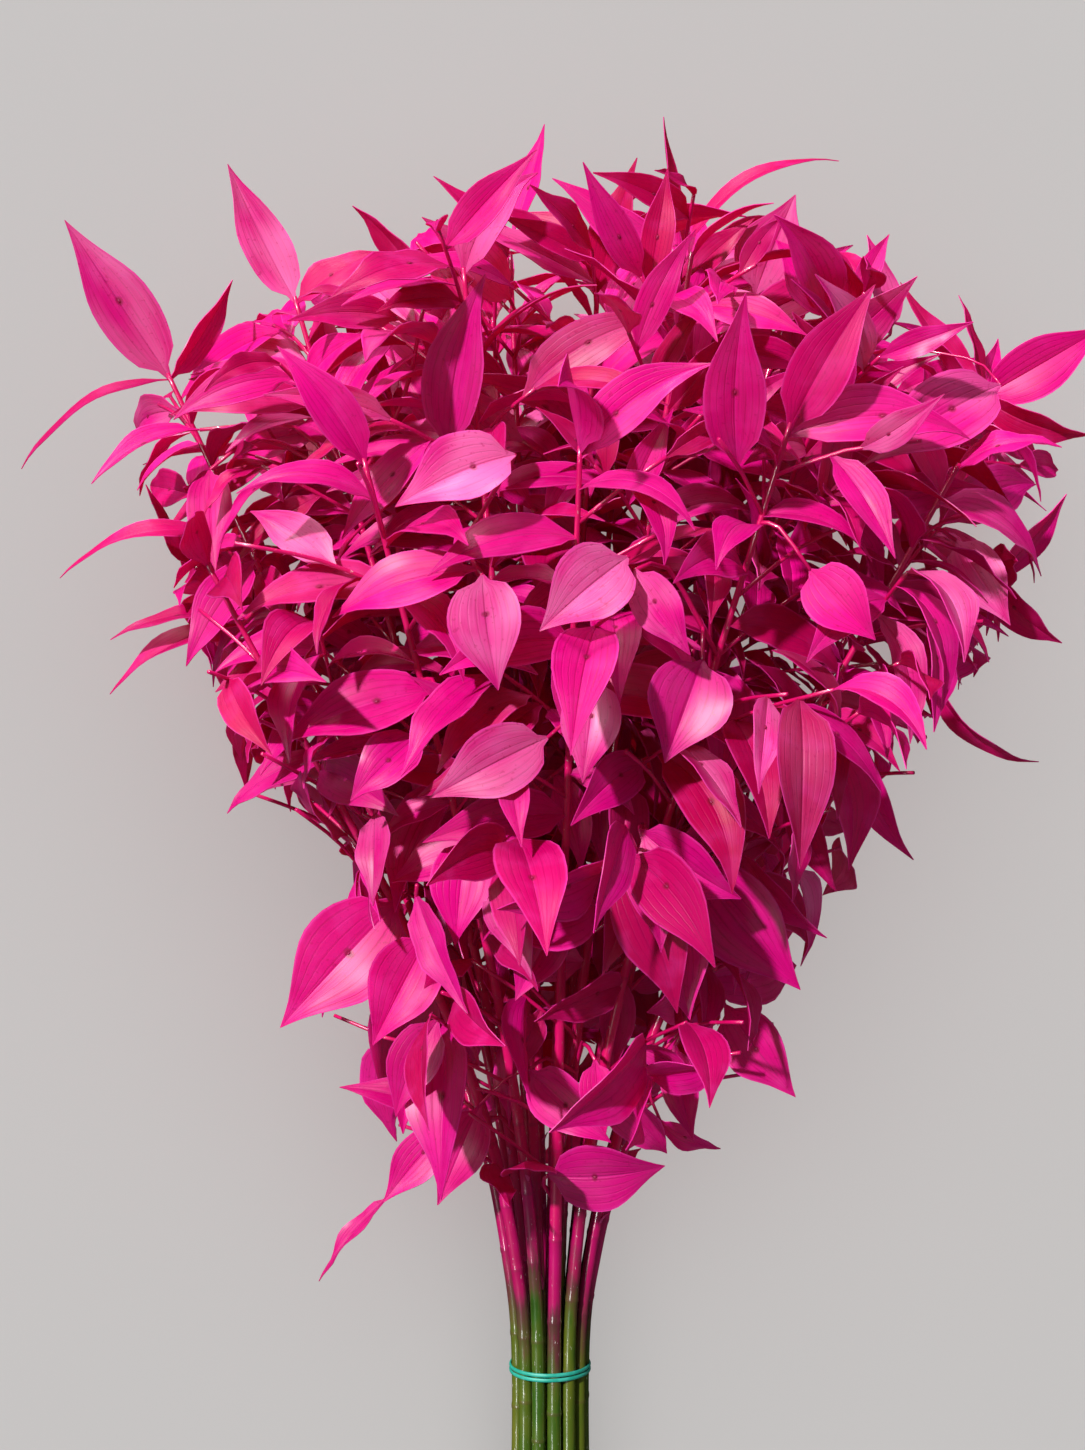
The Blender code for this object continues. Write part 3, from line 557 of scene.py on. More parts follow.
def grow_blade(
    stem: int, base: Vector, ahead: Vector, face: Vector, length: float, width: float, bends: Bends
) -> Blade:
    """Grows a blade step by step from its base, bending as it goes.

    Args:
        stem: The number of the stem that carries it.
        base: Where it starts.
        ahead: The way it starts out.
        face: The way its upper face looks.
        length: Its length along the centre line.
        width: Its greatest width.
        bends: How it bends on the way.

    Returns:
        The blade.
    """
    blade = Blade(stem, width, length, bends.fold)
    steps = LEAF.steps
    point, ahead = base.copy(), ahead.normalized()
    for i in range(steps + 1):
        side = ahead.cross(face).normalized()
        face = side.cross(ahead)
        half = half_width(i / steps, width)
        spare = max(point.z - LEAF.keel * max(face.z, 0), 0)
        if half * abs(side.z) > spare:
            side.z = math.copysign(spare / half, side.z)
            side = square_to(ahead, side)
            face = side.cross(ahead)
        blade.points.append(point.copy())
        blade.sides.append(side)
        blade.faces.append(face)
        blade.halves.append(half)
        bend = Quaternion(side, -bends.curl / steps) @ Quaternion(face, bends.sway / steps)
        bend = bend @ Quaternion(ahead, bends.twist / steps)
        hang_axis = ahead.cross(HANG)
        if hang_axis.length > 1 - ROOM.steepest:
            towards_hang = min(bends.droop / steps, ahead.angle(HANG) * LEAF.hang_share)
            bend = Quaternion(hang_axis.normalized(), towards_hang) @ bend
        ahead, face = (bend @ ahead).normalized(), bend @ face
        raised = stay_above(point, ahead, LEAF.keel * max(face.z, 0))
        ahead, face = raised, ahead.rotation_difference(raised) @ face
        point = point + ahead * (length / steps)
        point.z = max(point.z, 0)
    return blade


def twig_radii(root_radius: float) -> list[float]:
    """Gives a side twig's radii.

    Args:
        root_radius: The radius of what carries it.

    Returns:
        Its radius at the root, the bend and the end.
    """
    thick = min(TWIG.radius, root_radius * TWIG.taper)
    thin = min(TWIG.end_radius, thick)
    return [thick, (thick + thin) / 2, thin]


def grow_twig(
    stem: int, root: Vector, ahead: Vector, length: float, root_radius: float, droop: float
) -> Twig:
    """Grows a side twig in small steps, sagging towards the way it hung as it dried.

    Args:
        stem: The number of the stem that carries it.
        root: Where it starts.
        ahead: The way it starts out.
        length: Its length.
        root_radius: The radius of what carries it.
        droop: How far it sags, as a share of its heading.

    Returns:
        The twig.
    """
    point, ahead = root.copy(), ahead.normalized()
    points = [root.copy()]
    for i in range(2 * TWIG.half_steps):
        ahead = (ahead + HANG * droop / TWIG.half_steps / 2).normalized()
        ahead = stay_above(point, ahead, TWIG.radii_above_floor * TWIG.radius)
        point = point + ahead * (length / TWIG.half_steps / 2)
        if (i + 1) % TWIG.half_steps == 0:
            points.append(point)
    return Twig(stem, points, twig_radii(root_radius))


def ring_shell(rings: Sequence[Sequence[Vector]]) -> Shell:
    """Joins rings of points, each with the same count, to a closed tube.

    Args:
        rings: The rings in order.

    Returns:
        Its corners and faces.
    """
    count = len(rings[0])
    corners = [corner for ring in rings for corner in ring]
    faces = [tuple(range(count - 1, -1, -1))]
    for i in range(len(rings) - 1):
        for j in range(count):
            k = (j + 1) % count
            faces.append((i * count + j, i * count + k, (i + 1) * count + k, (i + 1) * count + j))
    last = (len(rings) - 1) * count
    faces.append(tuple(range(last, last + count)))
    return corners, faces


@dataclass(frozen=True)
class Margin:
    """The room that a blade's guard adds above, below and beyond its edges."""

    above: float
    below: float
    edge: float


WIDE = Margin(ROOM.room, ROOM.room + LEAF.keel, ROOM.edge)
CLOSE = Margin(FILL.room, FILL.under, FILL.edge)


def blade_guard(blade: Blade, from_step: int, margin: Margin) -> Shell:
    """Gives the space that a blade keeps to itself.

    Args:
        blade: The blade.
        from_step: The step that the guard starts at.
        margin: The room that it adds.

    Returns:
        The guard.
    """
    rings = []
    for i in (from_step, *blade.stations, LEAF.steps):
        half = blade.halves[i] + margin.edge
        point = blade.points[i]
        if i == LEAF.steps:
            point = point + (point - blade.points[i - 1]).normalized() * margin.above
        edge, up = blade.sides[i] * half, blade.faces[i]
        rise = up * blade.fold * blade.halves[i]
        above, below = point + up * margin.above, point - up * margin.below
        rings.append((point + edge + rise, above, point - edge + rise, below))
    return ring_shell(rings)


def twig_guard(twig: Twig, from_place: float) -> Shell:
    """Gives the space that a twig keeps to itself.

    Args:
        twig: The twig.
        from_place: The place on it that the guard starts at.

    Returns:
        The guard.
    """
    rings = []
    for at in [from_place] + [i for i in range(len(twig.points)) if i > from_place]:
        point, ahead = twig.place(at)
        across = ahead.cross(RIGHT + OUTWARD * ROOM.twig_slant).normalized()
        other = ahead.cross(across).normalized()
        reach = (twig.radius(at) + ROOM.twig_share * ROOM.room) * ROOM.twig_gain
        across, other = across * reach, other * reach
        rings.append((point + across, point + other, point - across, point - other))
    return ring_shell(rings)


class Thicket:
    """Everything that has grown so far, so that a new piece can be kept clear of it."""

    def __init__(self) -> None:
        """Starts with nothing grown."""
        self.centres = np.zeros((0, 3))
        self.reaches = np.zeros(0)
        self.trees: list[BVHTree] = []
        self.owners: list[int] = []

    def measure(self, guard: Shell) -> tuple[np.ndarray, float]:
        """Gives the middle of a guard and how far it reaches from there.

        Args:
            guard: The guard.

        Returns:
            Its middle and its reach.
        """
        corners = np.array([tuple(c) for c in guard[0]])
        centre = corners.mean(axis=0)
        return centre, float(np.linalg.norm(corners - centre, axis=1).max())

    def is_clear(self, guard: Shell, kin: int | None = None) -> bool:
        """Tells whether a guard meets nothing.

        Args:
            guard: The guard.
            kin: The stem whose own pieces it may meet.

        Returns:
            True if it meets nothing else.
        """
        centre, reach = self.measure(guard)
        near = np.nonzero(np.linalg.norm(self.centres - centre, axis=1) < self.reaches + reach)[0]
        tree = BVHTree.FromPolygons(*guard)
        return not any(self.owners[i] != kin and self.trees[i].overlap(tree) for i in near)

    def has_room_for_blade(self, blade: Blade, margin: Margin = WIDE) -> bool:
        """Tells whether a blade has room.

        Args:
            blade: The blade.
            margin: The room that it keeps.

        Returns:
            True if it is clear of everything, its foot apart from its own stem's pieces.
        """
        whole, beyond_foot = blade_guard(blade, 0, margin), blade_guard(blade, 1, margin)
        if not self.is_clear(beyond_foot) or not self.is_clear(whole, kin=blade.stem):
            return False
        return not folds_onto_itself(blade)

    def has_room_for_twig(self, twig: Twig, from_place: float) -> bool:
        """Tells whether a twig has room.

        Args:
            twig: The twig.
            from_place: The place from which it has to be clear of its own stem too.

        Returns:
            True if it is clear.
        """
        whole, beyond_root = twig_guard(twig, 0), twig_guard(twig, from_place)
        return self.is_clear(beyond_root) and self.is_clear(whole, kin=twig.stem)

    def add(self, guard: Shell, owner: int) -> None:
        """Adds a guard that belongs to a stem."""
        self.owners.append(owner)
        centre, reach = self.measure(guard)
        self.centres = np.vstack([self.centres, centre])
        self.reaches = np.append(self.reaches, reach)
        self.trees.append(BVHTree.FromPolygons(*guard))


def twig_rings(twig: Twig, side: Vector, face: Vector) -> list[list[Vector]]:
    """Gives three-cornered rings along a twig, turned to run into a blade at its end.

    Args:
        twig: The twig.
        side: The way to the blade's edge.
        face: The way the blade looks.

    Returns:
        The rings from root to end.
    """
    rings: list[list[Vector]] = []
    onward = facing = face.cross(side)
    for i in range(len(twig.points) - 1, -1, -1):
        behind = twig.place(max(i - 1, 0))[1]
        mitre = (behind + onward).normalized()
        bend = facing.rotation_difference(mitre)
        side, face, facing, onward = bend @ side, bend @ face, mitre, behind
        point, reach = twig.points[i], twig.radii[i] * LEAF.triangle_gain
        flank, upper = side * reach * math.sqrt(3) / 2, point + face * reach / 2
        rings.insert(0, [upper + flank, upper - flank, point - face * reach])
    return rings


def plain_blade(blade: Blade) -> Shell:
    """Gives the plain solid of a blade, flat across with a keel along its back, with the twig that it ends.

    Args:
        blade: The blade.

    Returns:
        Its corners and faces.
    """
    side, face = blade.sides[0], blade.faces[0]
    if blade.carrier:
        rings = twig_rings(blade.carrier, side, face)
    else:
        run = blade.points[1] - blade.points[0]
        beyond = min(blade.root_radius + LEAF.neck_beyond_root, LEAF.neck_share * run.length)
        foot, neck = blade.points[0], blade.points[0] + run.normalized() * beyond
        rings = [
            [foot + side * LEAF.foot, foot - side * LEAF.foot, foot - face * LEAF.foot],
            [neck + side * LEAF.neck, neck - side * LEAF.neck, neck - face * LEAF.neck],
        ]
    for i in blade.stations:
        half = blade.halves[i] * LEAF.chord_gain
        point, side, face = blade.points[i], blade.sides[i], blade.faces[i]
        rise = face * blade.fold * blade.halves[i] * LEAF.plain_fold
        keel = face * LEAF.keel * (1 - LEAF.keel_thinning * i / LEAF.steps)
        rings.append([point + side * half + rise, point - side * half + rise, point - keel])
    for ring in rings:
        for corner in ring:
            corner.z = corner.z if corner.z > ROOM.settled else 0
    corners = [corner for ring in rings for corner in ring] + [blade.points[-1]]
    faces = [(2, 1, 0)]
    for i in range(len(rings) - 1):
        for j in range(3):
            k = (j + 1) % 3
            faces.append((i * 3 + j, i * 3 + k, i * 3 + 3 + k, i * 3 + 3 + j))
    last = 3 * (len(rings) - 1)
    faces += [(last + j, last + (j + 1) % 3, len(corners) - 1) for j in range(3)]
    return corners, faces


def folds_onto_itself(blade: Blade) -> bool:
    """Tells whether a blade turns or bends so sharply that its faces cross.

    Args:
        blade: The blade.

    Returns:
        True if it does.
    """
    for here, there in zip((0, *blade.stations), blade.stations):
        if blade.sides[here].angle(blade.sides[there]) > ROOM.sharpest_turn:
            return True
    corners, faces = plain_blade(blade)
    shape = bmesh.new()
    made = [shape.verts.new(corner) for corner in corners]
    for face in faces:
        shape.faces.new([made[i] for i in face])
    bmesh.ops.triangulate(shape, faces=shape.faces)
    if shape.calc_volume(signed=True) < 0:
        bmesh.ops.reverse_faces(shape, faces=shape.faces)
    shape.faces.ensure_lookup_table()
    tree = BVHTree.FromBMesh(shape)
    found = any(
        not set(shape.faces[i].verts) & set(shape.faces[j].verts) for i, j in tree.overlap(tree) if i < j
    )
    shape.free()
    return found


def stem_paths() -> list[list[Vector]]:
    """Gives the centre line of every main stem, from its cut end through the band and out to its tip.

    Returns:
        The points of each centre line.
    """
    paths = []
    for count, ring, first in STEM.rings:
        for k in range(count):
            angle = math.radians(first + 360 / count * k)
            u, w = ring * math.cos(angle), ring * math.sin(angle)
            variation = random.Random(f"cut {len(paths)}").uniform(-STEM.cut_variation, STEM.cut_variation)
            start = bunch_point(u * STEM.cut_splay, -STEM.cut_length - variation, w * STEM.cut_splay)
            band = bunch_point(u, 0, w)
            end = bunch_point(*(x * MM for x in STEM_ENDS[len(paths)]))
            knee = band + ALONG * STEM.knee_rise + (band - BAND_MIDDLE) * STEM.knee_spread
            aside = (end - band) - (end - band).project(ALONG)
            shoulder = band.lerp(end, STEM.shoulder_share) - aside * STEM.shoulder_bulge
            points = [start]
            for i in range(STEM.steps + 1):
                t = i / STEM.steps
                near_band = band * (1 - t) ** 3 + knee * 3 * t * (1 - t) ** 2
                points.append(near_band + shoulder * 3 * t**2 * (1 - t) + end * t**3)
            paths.append(points)
    return paths


def seen_place(point: Vector) -> tuple[float, float]:
    """Gives where the viewer sees a point.

    Args:
        point: The point, before the bunch is centred.

    Returns:
        Its (u, v) in millimetres of the plane through the band's middle.
    """
    from_band = point - BAND_MIDDLE
    farther = VIEW_DISTANCE / (VIEW_DISTANCE - from_band.dot(OUTWARD))
    u = VIEW_CENTRE[0] + (from_band.dot(RIGHT) - VIEW_CENTRE[0]) * farther
    v = VIEW_CENTRE[1] + (from_band.dot(ALONG) - VIEW_CENTRE[1]) * farther
    return u / MM, v / MM


def is_within_outline(points: Iterable[Vector], rows: Sequence[tuple[float, float, float]] = OUTLINE) -> bool:
    """Tells whether the viewer sees all of some points within the bunch's outline.

    Args:
        points: The points.
        rows: The outline, in millimetres as the viewer sees it: v, left u, right u.

    Returns:
        True if they are.
    """
    heights = [row[0] for row in rows]
    for point in points:
        u, v = seen_place(point)
        left = np.interp(v, heights, [row[1] for row in rows])
        right = np.interp(v, heights, [row[2] for row in rows])
        if not (left < u < right and heights[0] < v < heights[-1]):
            return False
    return True


def is_in_front(point: Vector) -> bool:
    """Whether a point lies in the layer where the listed leaves face the viewer."""
    from_band = point - BAND_MIDDLE
    heights, depths = zip(*FILL.front)
    return from_band.dot(OUTWARD) / MM > np.interp(from_band.dot(ALONG) / MM, heights, depths)


def fill_of(place: Vector, name: str) -> "LeafTry":
    """Gives the way that a filling leaf grows.

    Args:
        place: Where it starts.
        name: The seed of its draw.

    Returns:
        Erect and facing the viewer for most of the crown, and as the ruled leaves elsewhere.
    """
    in_crown = height_of(place) > FILL.crown_starts
    return ERECT if in_crown and random.Random("way " + name).random() < FILL.erect_share else EXTRA


def seen_point(u: float, v: float, w: float) -> Vector:
    """Gives the point at a depth that the viewer sees at a place.

    Args:
        u: Millimetres to the right, of the plane through the band's middle.
        v: Millimetres along it.
        w: The depth in millimetres.

    Returns:
        The point, before the bunch is centred.
    """
    nearer = (VIEW_DISTANCE - w * MM) / VIEW_DISTANCE
    real_u = VIEW_CENTRE[0] + (u * MM - VIEW_CENTRE[0]) * nearer
    real_v = VIEW_CENTRE[1] + (v * MM - VIEW_CENTRE[1]) * nearer
    return bunch_point(real_u, real_v, w * MM)


@dataclass(frozen=True)
class LeafTry:
    """The ranges that a ruled leaf is tried in.

    Up gives how far its face looks away from the heart, along the stems and out to the viewer. Front share is
    the share of such leaves that may hide the listed ones.
    """

    lengths: tuple[float, float] = LEAF.lengths
    tries: int = ROOM.tries
    margin: Margin = WIDE
    splays: tuple[float, float] = LEAF.splays
    pulls_out: tuple[float, float] = LEAF.pulls_out
    pulls_down: tuple[float, float] = LEAF.pulls_down
    low_slenderness: tuple[float, float] = LEAF.low_slenderness
    high_slenderness: tuple[float, float] = LEAF.high_slenderness
    droops: tuple[float, float] = LEAF.droops
    up: tuple[float, float, float] = (0.75, 0.5, 0.25)
    fills: bool = False
    front_share: float = 1.0
    outlined: bool = True


RULED = LeafTry()
EXTRA = LeafTry(
    FILL.lengths,
    FILL.tries,
    CLOSE,
    low_slenderness=(0.32, 0.48),
    high_slenderness=FILL.crown_slenderness,
    fills=True,
    front_share=FILL.front_share,
)
ERECT = LeafTry(
    FILL.crown_lengths,
    FILL.tries,
    CLOSE,
    splays=(12, 48),
    pulls_out=(0.1, 0.5),
    pulls_down=(0, 0.3),
    low_slenderness=(0.3, 0.42),
    high_slenderness=FILL.crown_slenderness,
    droops=(5, 35),
    up=(0.35, -0.1, 0.9),
    fills=True,
    front_share=FILL.front_share,
)
TUFT = LeafTry(
    (15 * MM, 34 * MM),
    FILL.tries,
    CLOSE,
    splays=(6, 30),
    pulls_out=(0, 0.12),
    pulls_down=(0, 0),
    low_slenderness=(0.3, 0.4),
    droops=(0, 12),
    up=(0.3, 0.2, 0.8),
    outlined=False,
)


class Bunch:
    """The whole bunch as it grows: main stems, then the leaves that show most, then the others by rule."""

    def __init__(self) -> None:
        """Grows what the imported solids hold."""
        self.thicket = Thicket()
        self.stems: list[Twig] = []
        self.twigs: list[Twig] = []
        self.ruled_twigs: list[Twig] = []
        self.blades: list[Blade] = []
        self.box: tuple[Vector, Vector] | None = None
        self.grow_stems()
        self.grow_shown_blades()
        self.grow_ends()
        self.grow_twigs()
        self.grow_twig_blades()
        self.offset = self.centring()

    def grow_stems(self) -> None:
        """Grows the main stems."""
        for number, points in enumerate(stem_paths()):
            last = len(points) - 1
            taper = STEM.radius - STEM.end_radius
            radii = [STEM.radius - taper * max(0, (i - 1) / (last - 1)) for i in range(last + 1)]
            stem = Twig(number, points, radii)
            self.stems.append(stem)
            for i in range(last):
                self.thicket.add(twig_guard(Twig(number, points[i : i + 2], radii[i : i + 2]), 0), number)

    def keep_twig(self, twig: Twig) -> None:
        """Keeps a twig and the space that it fills."""
        self.twigs.append(twig)
        self.thicket.add(twig_guard(twig, 0), twig.stem)

    def keep_blade(self, blade: Blade, margin: Margin = WIDE) -> None:
        """Keeps a blade and the space that it fills."""
        self.blades.append(blade)
        self.thicket.add(blade_guard(blade, 0, margin), blade.stem)

    def carrier_of(
        self, base: Vector, toward: Vector
    ) -> tuple[int, Vector | None, float, Twig | None] | None:
        """Finds what carries a leaf.

        Args:
            base: Where the leaf starts.
            toward: The way it goes.

        Returns:
            Its stem, with the joint and its radius, or with the twig that reaches out to it, or None.
        """
        for stem in self.stems:
            end, along = stem.place(stem.number_of_runs())
            if (base - end).length < TWIG.near_an_end:
                return stem.stem, end - along * LEAF.sunk, stem.radii[-1], None
        found = []
        for twig in self.stems + self.twigs:
            first = TWIG.lowest_run_on_a_stem if twig in self.stems else 0
            for run in range(first, twig.number_of_runs()):
                for share in TWIG.carrier_shares:
                    here, along = twig.place(run + share)
                    out = base - here
                    if out.length < TWIG.near_enough:
                        return twig.stem, here, twig.radius(run + share), None
                    cost = out.length * (1 + TWIG.angle_cost * abs(out.angle(along) - TWIG.angle))
                    found.append((cost, len(found), twig, run + share))
        for _, _, twig, at in sorted(found)[: TWIG.most_carriers]:
            here, along = twig.place(at)
            reach = (base - here).length
            elbow = here.lerp(base, 0.5) + (along * TWIG.elbow_along - toward * TWIG.elbow_back) * reach
            elbow.z = max(elbow.z, TWIG.radii_above_floor * TWIG.radius)
            branch = Twig(twig.stem, [here, elbow, base], twig_radii(twig.radius(at)))
            if reach < TWIG.longest_reach and self.thicket.has_room_for_twig(branch, TWIG.reach_root_share):
                return twig.stem, None, 0.0, branch
        return None

    def grow_shown_blades(self) -> None:
        """Grows the listed leaves, with the twigs that carry them."""
        for number, (base, tip, base_w, tip_w, width, roll, curl) in enumerate(SHOWN_BLADES):
            root, end = seen_point(*base, base_w), seen_point(*tip, tip_w)
            root.z = max(root.z, TWIG.joint_radii_above_floor * TWIG.radius)
            carrier = self.carrier_of(root, (end - root).normalized())
            if carrier is None:
                continue
            stem, joint, root_radius, branch = carrier
            root = joint if joint is not None else root
            chord = end - root
            toward = chord.normalized()
            face = turn(square_to(toward, OUTWARD), toward, math.radians(roll))
            bow = math.radians(curl)
            length = chord.length * (bow / 2 / math.sin(bow / 2) if bow else 1)
            side = toward.cross(face)
            start, facing = turn(toward, side, bow / 2), turn(face, side, bow / 2)
            for attempt in range(ROOM.shown_tries):
                draw = random.Random(f"shown {number} {attempt}")
                ahead = start + scatter(draw, ROOM.shown_wander * attempt)
                blade = grow_blade(stem, root, ahead, facing, length, width * MM, Bends(curl=bow))
                blade.stations = LEAF.shown_stations
                blade.root_radius = root_radius
                blade.carrier = branch
                blade.shown = True
                tints = [tint for tint, numbers in SHOWN_TINTS.items() if number in numbers]
                blade.tint = tints[0] if tints else Tint.PINK
                if self.thicket.has_room_for_blade(blade):
                    if branch is not None:
                        self.keep_twig(branch)
                    self.keep_blade(blade)
                    break

    def try_blade(self, name: str, twig: Twig, place: float, hand: int, trying: LeafTry = RULED) -> None:
        """Tries a few blades at a place on a twig, and keeps the first that has room.

        Args:
            name: The seed of its draws.
            twig: The twig or main stem.
            place: The place on it.
            hand: 1 or -1 for a side, or 0 straight on from the end.
            trying: The ranges to try in.
        """
        at, along = twig.place(place)
        if twig in self.stems and place == twig.number_of_runs():
            at = at - along * LEAF.sunk
        out = (at - HEART).normalized()
        height = height_of(at)
        crown = float(np.interp(height, LEAF.crown, (0, 1)))
        rise = float(np.interp(height, LEAF.lower, (0, 1)))
        up = (out * trying.up[0] + ALONG * trying.up[1] + OUTWARD * trying.up[2]).normalized()
        side = along.cross(up).normalized() * hand
        may_front = random.Random(name).random() < trying.front_share
        for attempt in range(trying.tries):
            draw = random.Random(f"{name} {attempt}")
            splay = math.radians(draw.uniform(*trying.splays)) if hand else 0
            ahead = along * math.cos(splay) + side * math.sin(splay)
            ahead += out * draw.uniform(*trying.pulls_out)
            ahead -= ALONG * (1 - crown) * draw.uniform(*trying.pulls_down)
            wander = LEAF.wander * (1 + attempt * LEAF.wander_growth)
            ahead += scatter(draw, wander)
            ahead.normalize()
            face = up + scatter(draw, LEAF.face_wander)
            face = square_to(ahead, face)
            length = draw.uniform(*trying.lengths) * (1 - ROOM.blade_shortening * attempt)
            low, high = draw.uniform(*trying.low_slenderness), draw.uniform(*trying.high_slenderness)
            slenderness = low * (1 - rise) + high * rise
            bends = Bends(
                curl=math.radians(draw.uniform(*LEAF.curls)),
                droop=math.radians(draw.uniform(*trying.droops)) * (1 - LEAF.crown_stiffness * crown),
                sway=math.radians(draw.uniform(-LEAF.sway, LEAF.sway)),
                twist=math.radians(draw.uniform(-LEAF.twist, LEAF.twist)),
                fold=draw.uniform(*LEAF.folds),
            )
            blade = grow_blade(twig.stem, at, ahead, face, length, length * slenderness, bends)
            blade.root_radius = twig.radius(place)
            if at == twig.points[-1] and twig not in self.stems:
                blade.carrier = twig
            rows = FILL.rows if trying.fills else OUTLINE
            if trying.outlined and not is_within_outline(blade.points[LEAF.outlined_from :], rows):
                continue
            if not self.is_within_box(blade.points):
                continue
            if not may_front and is_in_front(blade.points[LEAF.steps // 2]):
                continue
            if self.thicket.has_room_for_blade(blade, trying.margin):
                self.keep_blade(blade, trying.margin)
                return

    def grow_ends(self) -> None:
        """Grows the leaves along the last stretch of each main stem."""
        for number, stem in enumerate(self.stems):
            for k, back in enumerate(LEAF.places_from_an_end):
                place = stem.number_of_runs() - back
                self.try_blade(f"end {number} {k}", stem, place, LEAF.hands[k] * (-1) ** number)

    def grow_twigs(self) -> None:
        """Grows side twigs up each main stem, turned on by the golden angle and kept to the outside."""
        lowest_twigs = by_stem(TWIG.lowest)
        for number, stem in enumerate(self.stems):
            draw = random.Random(f"twigs {number}")
            next_at = lowest_twigs[number] + draw.uniform(0, TWIG.lowest_variation)
            travelled, count = 0.0, 0
            for i in range(TWIG.looks_per_run * STEM.steps - TWIG.looks_left_off):
                here, along = stem.place(1 + (i + 0.5) / TWIG.looks_per_run)
                before = stem.place(1 + (i - 0.5) / TWIG.looks_per_run)[0]
                travelled += (here - before).length if i else 0
                if travelled < next_at:
                    continue
                self.try_twig(stem, here, along, count, draw)
                count += 1
                spacing = float(np.interp(travelled, (0, TWIG.leafy_length), TWIG.spacings))
                next_at = travelled + spacing * draw.uniform(*TWIG.spacing_variation)

    def try_twig(
        self,
        stem: Twig,
        here: Vector,
        along: Vector,
        count: int,
        draw: random.Random,
        lengths: tuple[float, float] = TWIG.lengths,
    ) -> Twig | None:
        """Tries a few side twigs at a place on a main stem, and keeps the first that has room.

        Args:
            stem: The main stem.
            here: The place.
            along: The way the stem goes there.
            count: The number of twigs tried before on this stem.
            draw: Where its random numbers come from.
            lengths: The shortest and longest that it may be.

        Returns:
            The twig, or None.
        """
        middle = BAND_MIDDLE + (here - BAND_MIDDLE).project(ALONG)
        out = square_to(along, here - middle)
        for attempt in range(ROOM.tries):
            turned_on = count + attempt * TWIG.retry_turn + stem.stem
            swing = math.sin(TWIG.golden_angle * turned_on) * TWIG.swing
            aside = turn(out, along, swing)
            ahead = along * math.cos(TWIG.angle) + aside * math.sin(TWIG.angle)
            length = draw.uniform(*lengths) * (1 - ROOM.twig_shortening * attempt)
            twig = grow_twig(stem.stem, here, ahead, length, stem.radii[-1], draw.uniform(*TWIG.droops))
            if is_within_outline(twig.points[-1:]) and self.thicket.has_room_for_twig(twig, TWIG.root_share):
                self.keep_twig(twig)
                self.ruled_twigs.append(twig)
                return twig
        return None

    def grow_twig_blades(self) -> None:
        """Grows leaves on each side twig, from its end down, left and right in turn."""
        for k, place in enumerate(LEAF.places_on_a_twig):
            for number, twig in enumerate(self.ruled_twigs):
                self.try_blade(f"twig {number} {k}", twig, place, LEAF.hands[k] * (-1) ** number)

    def centring(self) -> Vector:
        """Gives the move that brings the middle of the solids' outline over the origin.

        Returns:
            The move.
        """
        corners = [corner for blade in self.blades for corner in plain_blade(blade)[0]]
        corners += [point for stem in self.stems for point in stem.points]
        low = [min(c[k] for c in corners) for k in range(2)]
        high = [max(c[k] for c in corners) for k in range(2)]
        return Vector((-(low[0] + high[0]) / 2, -(low[1] + high[1]) / 2, 0))

    def is_within_box(self, points: Iterable[Vector]) -> bool:
        """Tells whether points stay inside the solids' box, once that is set.

        Args:
            points: The points.

        Returns:
            True if they do.
        """
        if self.box is None:
            return True
        low, high = self.box
        return all(low[k] < point[k] < high[k] for point in points for k in range(3))

    def fill_out(self, low: Vector, high: Vector) -> None:
        """Grows more leaves than the solids have, on the same stems and twigs and on thin twigs of their own.

        Args:
            low: The lowest corner of the solids' box.
            high: Its highest corner.
        """
        margin = Vector((FILL.box_margin, FILL.box_margin, 0))
        self.box = (low - self.offset + margin, high - self.offset - margin - Vector((0, 0, FILL.box_margin)))
        self.fill_ends()
        self.fill_twigs()
        self.fill_stems()
        self.add_twigs()

    def fill_ends(self) -> None:
        """Grows a tuft of small erect leaves at the end of each main stem."""
        for number, stem in enumerate(self.stems):
            for k, back in enumerate(FILL.tuft_places):
                place = stem.number_of_runs() - back
                self.try_blade(f"tuft {number} {k}", stem, place, 0 if not back else (-1) ** k, TUFT)

    def fill_twigs(self) -> None:
        """Grows more leaves on the side twigs."""
        for k, place in enumerate(FILL.places_on_a_twig):
            for number, twig in enumerate(self.ruled_twigs):
                name, hand = f"more on twig {number} {k}", (-1) ** (number + k)
                self.try_blade(name, twig, place, hand, fill_of(twig.place(place)[0], name))

    def climb(
        self, stem: Twig, draw: random.Random, spacing: tuple[float, float], short: float
    ) -> Iterator[float]:
        """Goes up a main stem from place to place, above where its filling starts and closer in the crown.

        Args:
            stem: The main stem.
            draw: Where the steps are drawn from.
            spacing: The shortest and longest step.
            short: How far short of the stem's end it stops, in runs.

        Yields:
            Each place.
        """
        lowest = by_stem(FILL.lowest)[stem.stem]
        place = 1.0
        while place < stem.number_of_runs() - short:
            run = (stem.points[int(place) + 1] - stem.points[int(place)]).length
            height = height_of(stem.place(place)[0])
            if height > lowest:
                yield place
            crowding = FILL.crown_crowding if height > FILL.crown_starts else 1
            place += draw.uniform(*spacing) * crowding / run

    def fill_stems(self) -> None:
        """Grows leaves on the main stems themselves, left and right in turn."""
        for number, stem in enumerate(self.stems):
            draw = random.Random(f"more on stem {number}")
            for k, place in enumerate(self.climb(stem, draw, FILL.spacing, FILL.last_leaf)):
                name = f"on stem {number} {place:.3f}"
                self.try_blade(name, stem, place, (-1) ** k, fill_of(stem.place(place)[0], name))

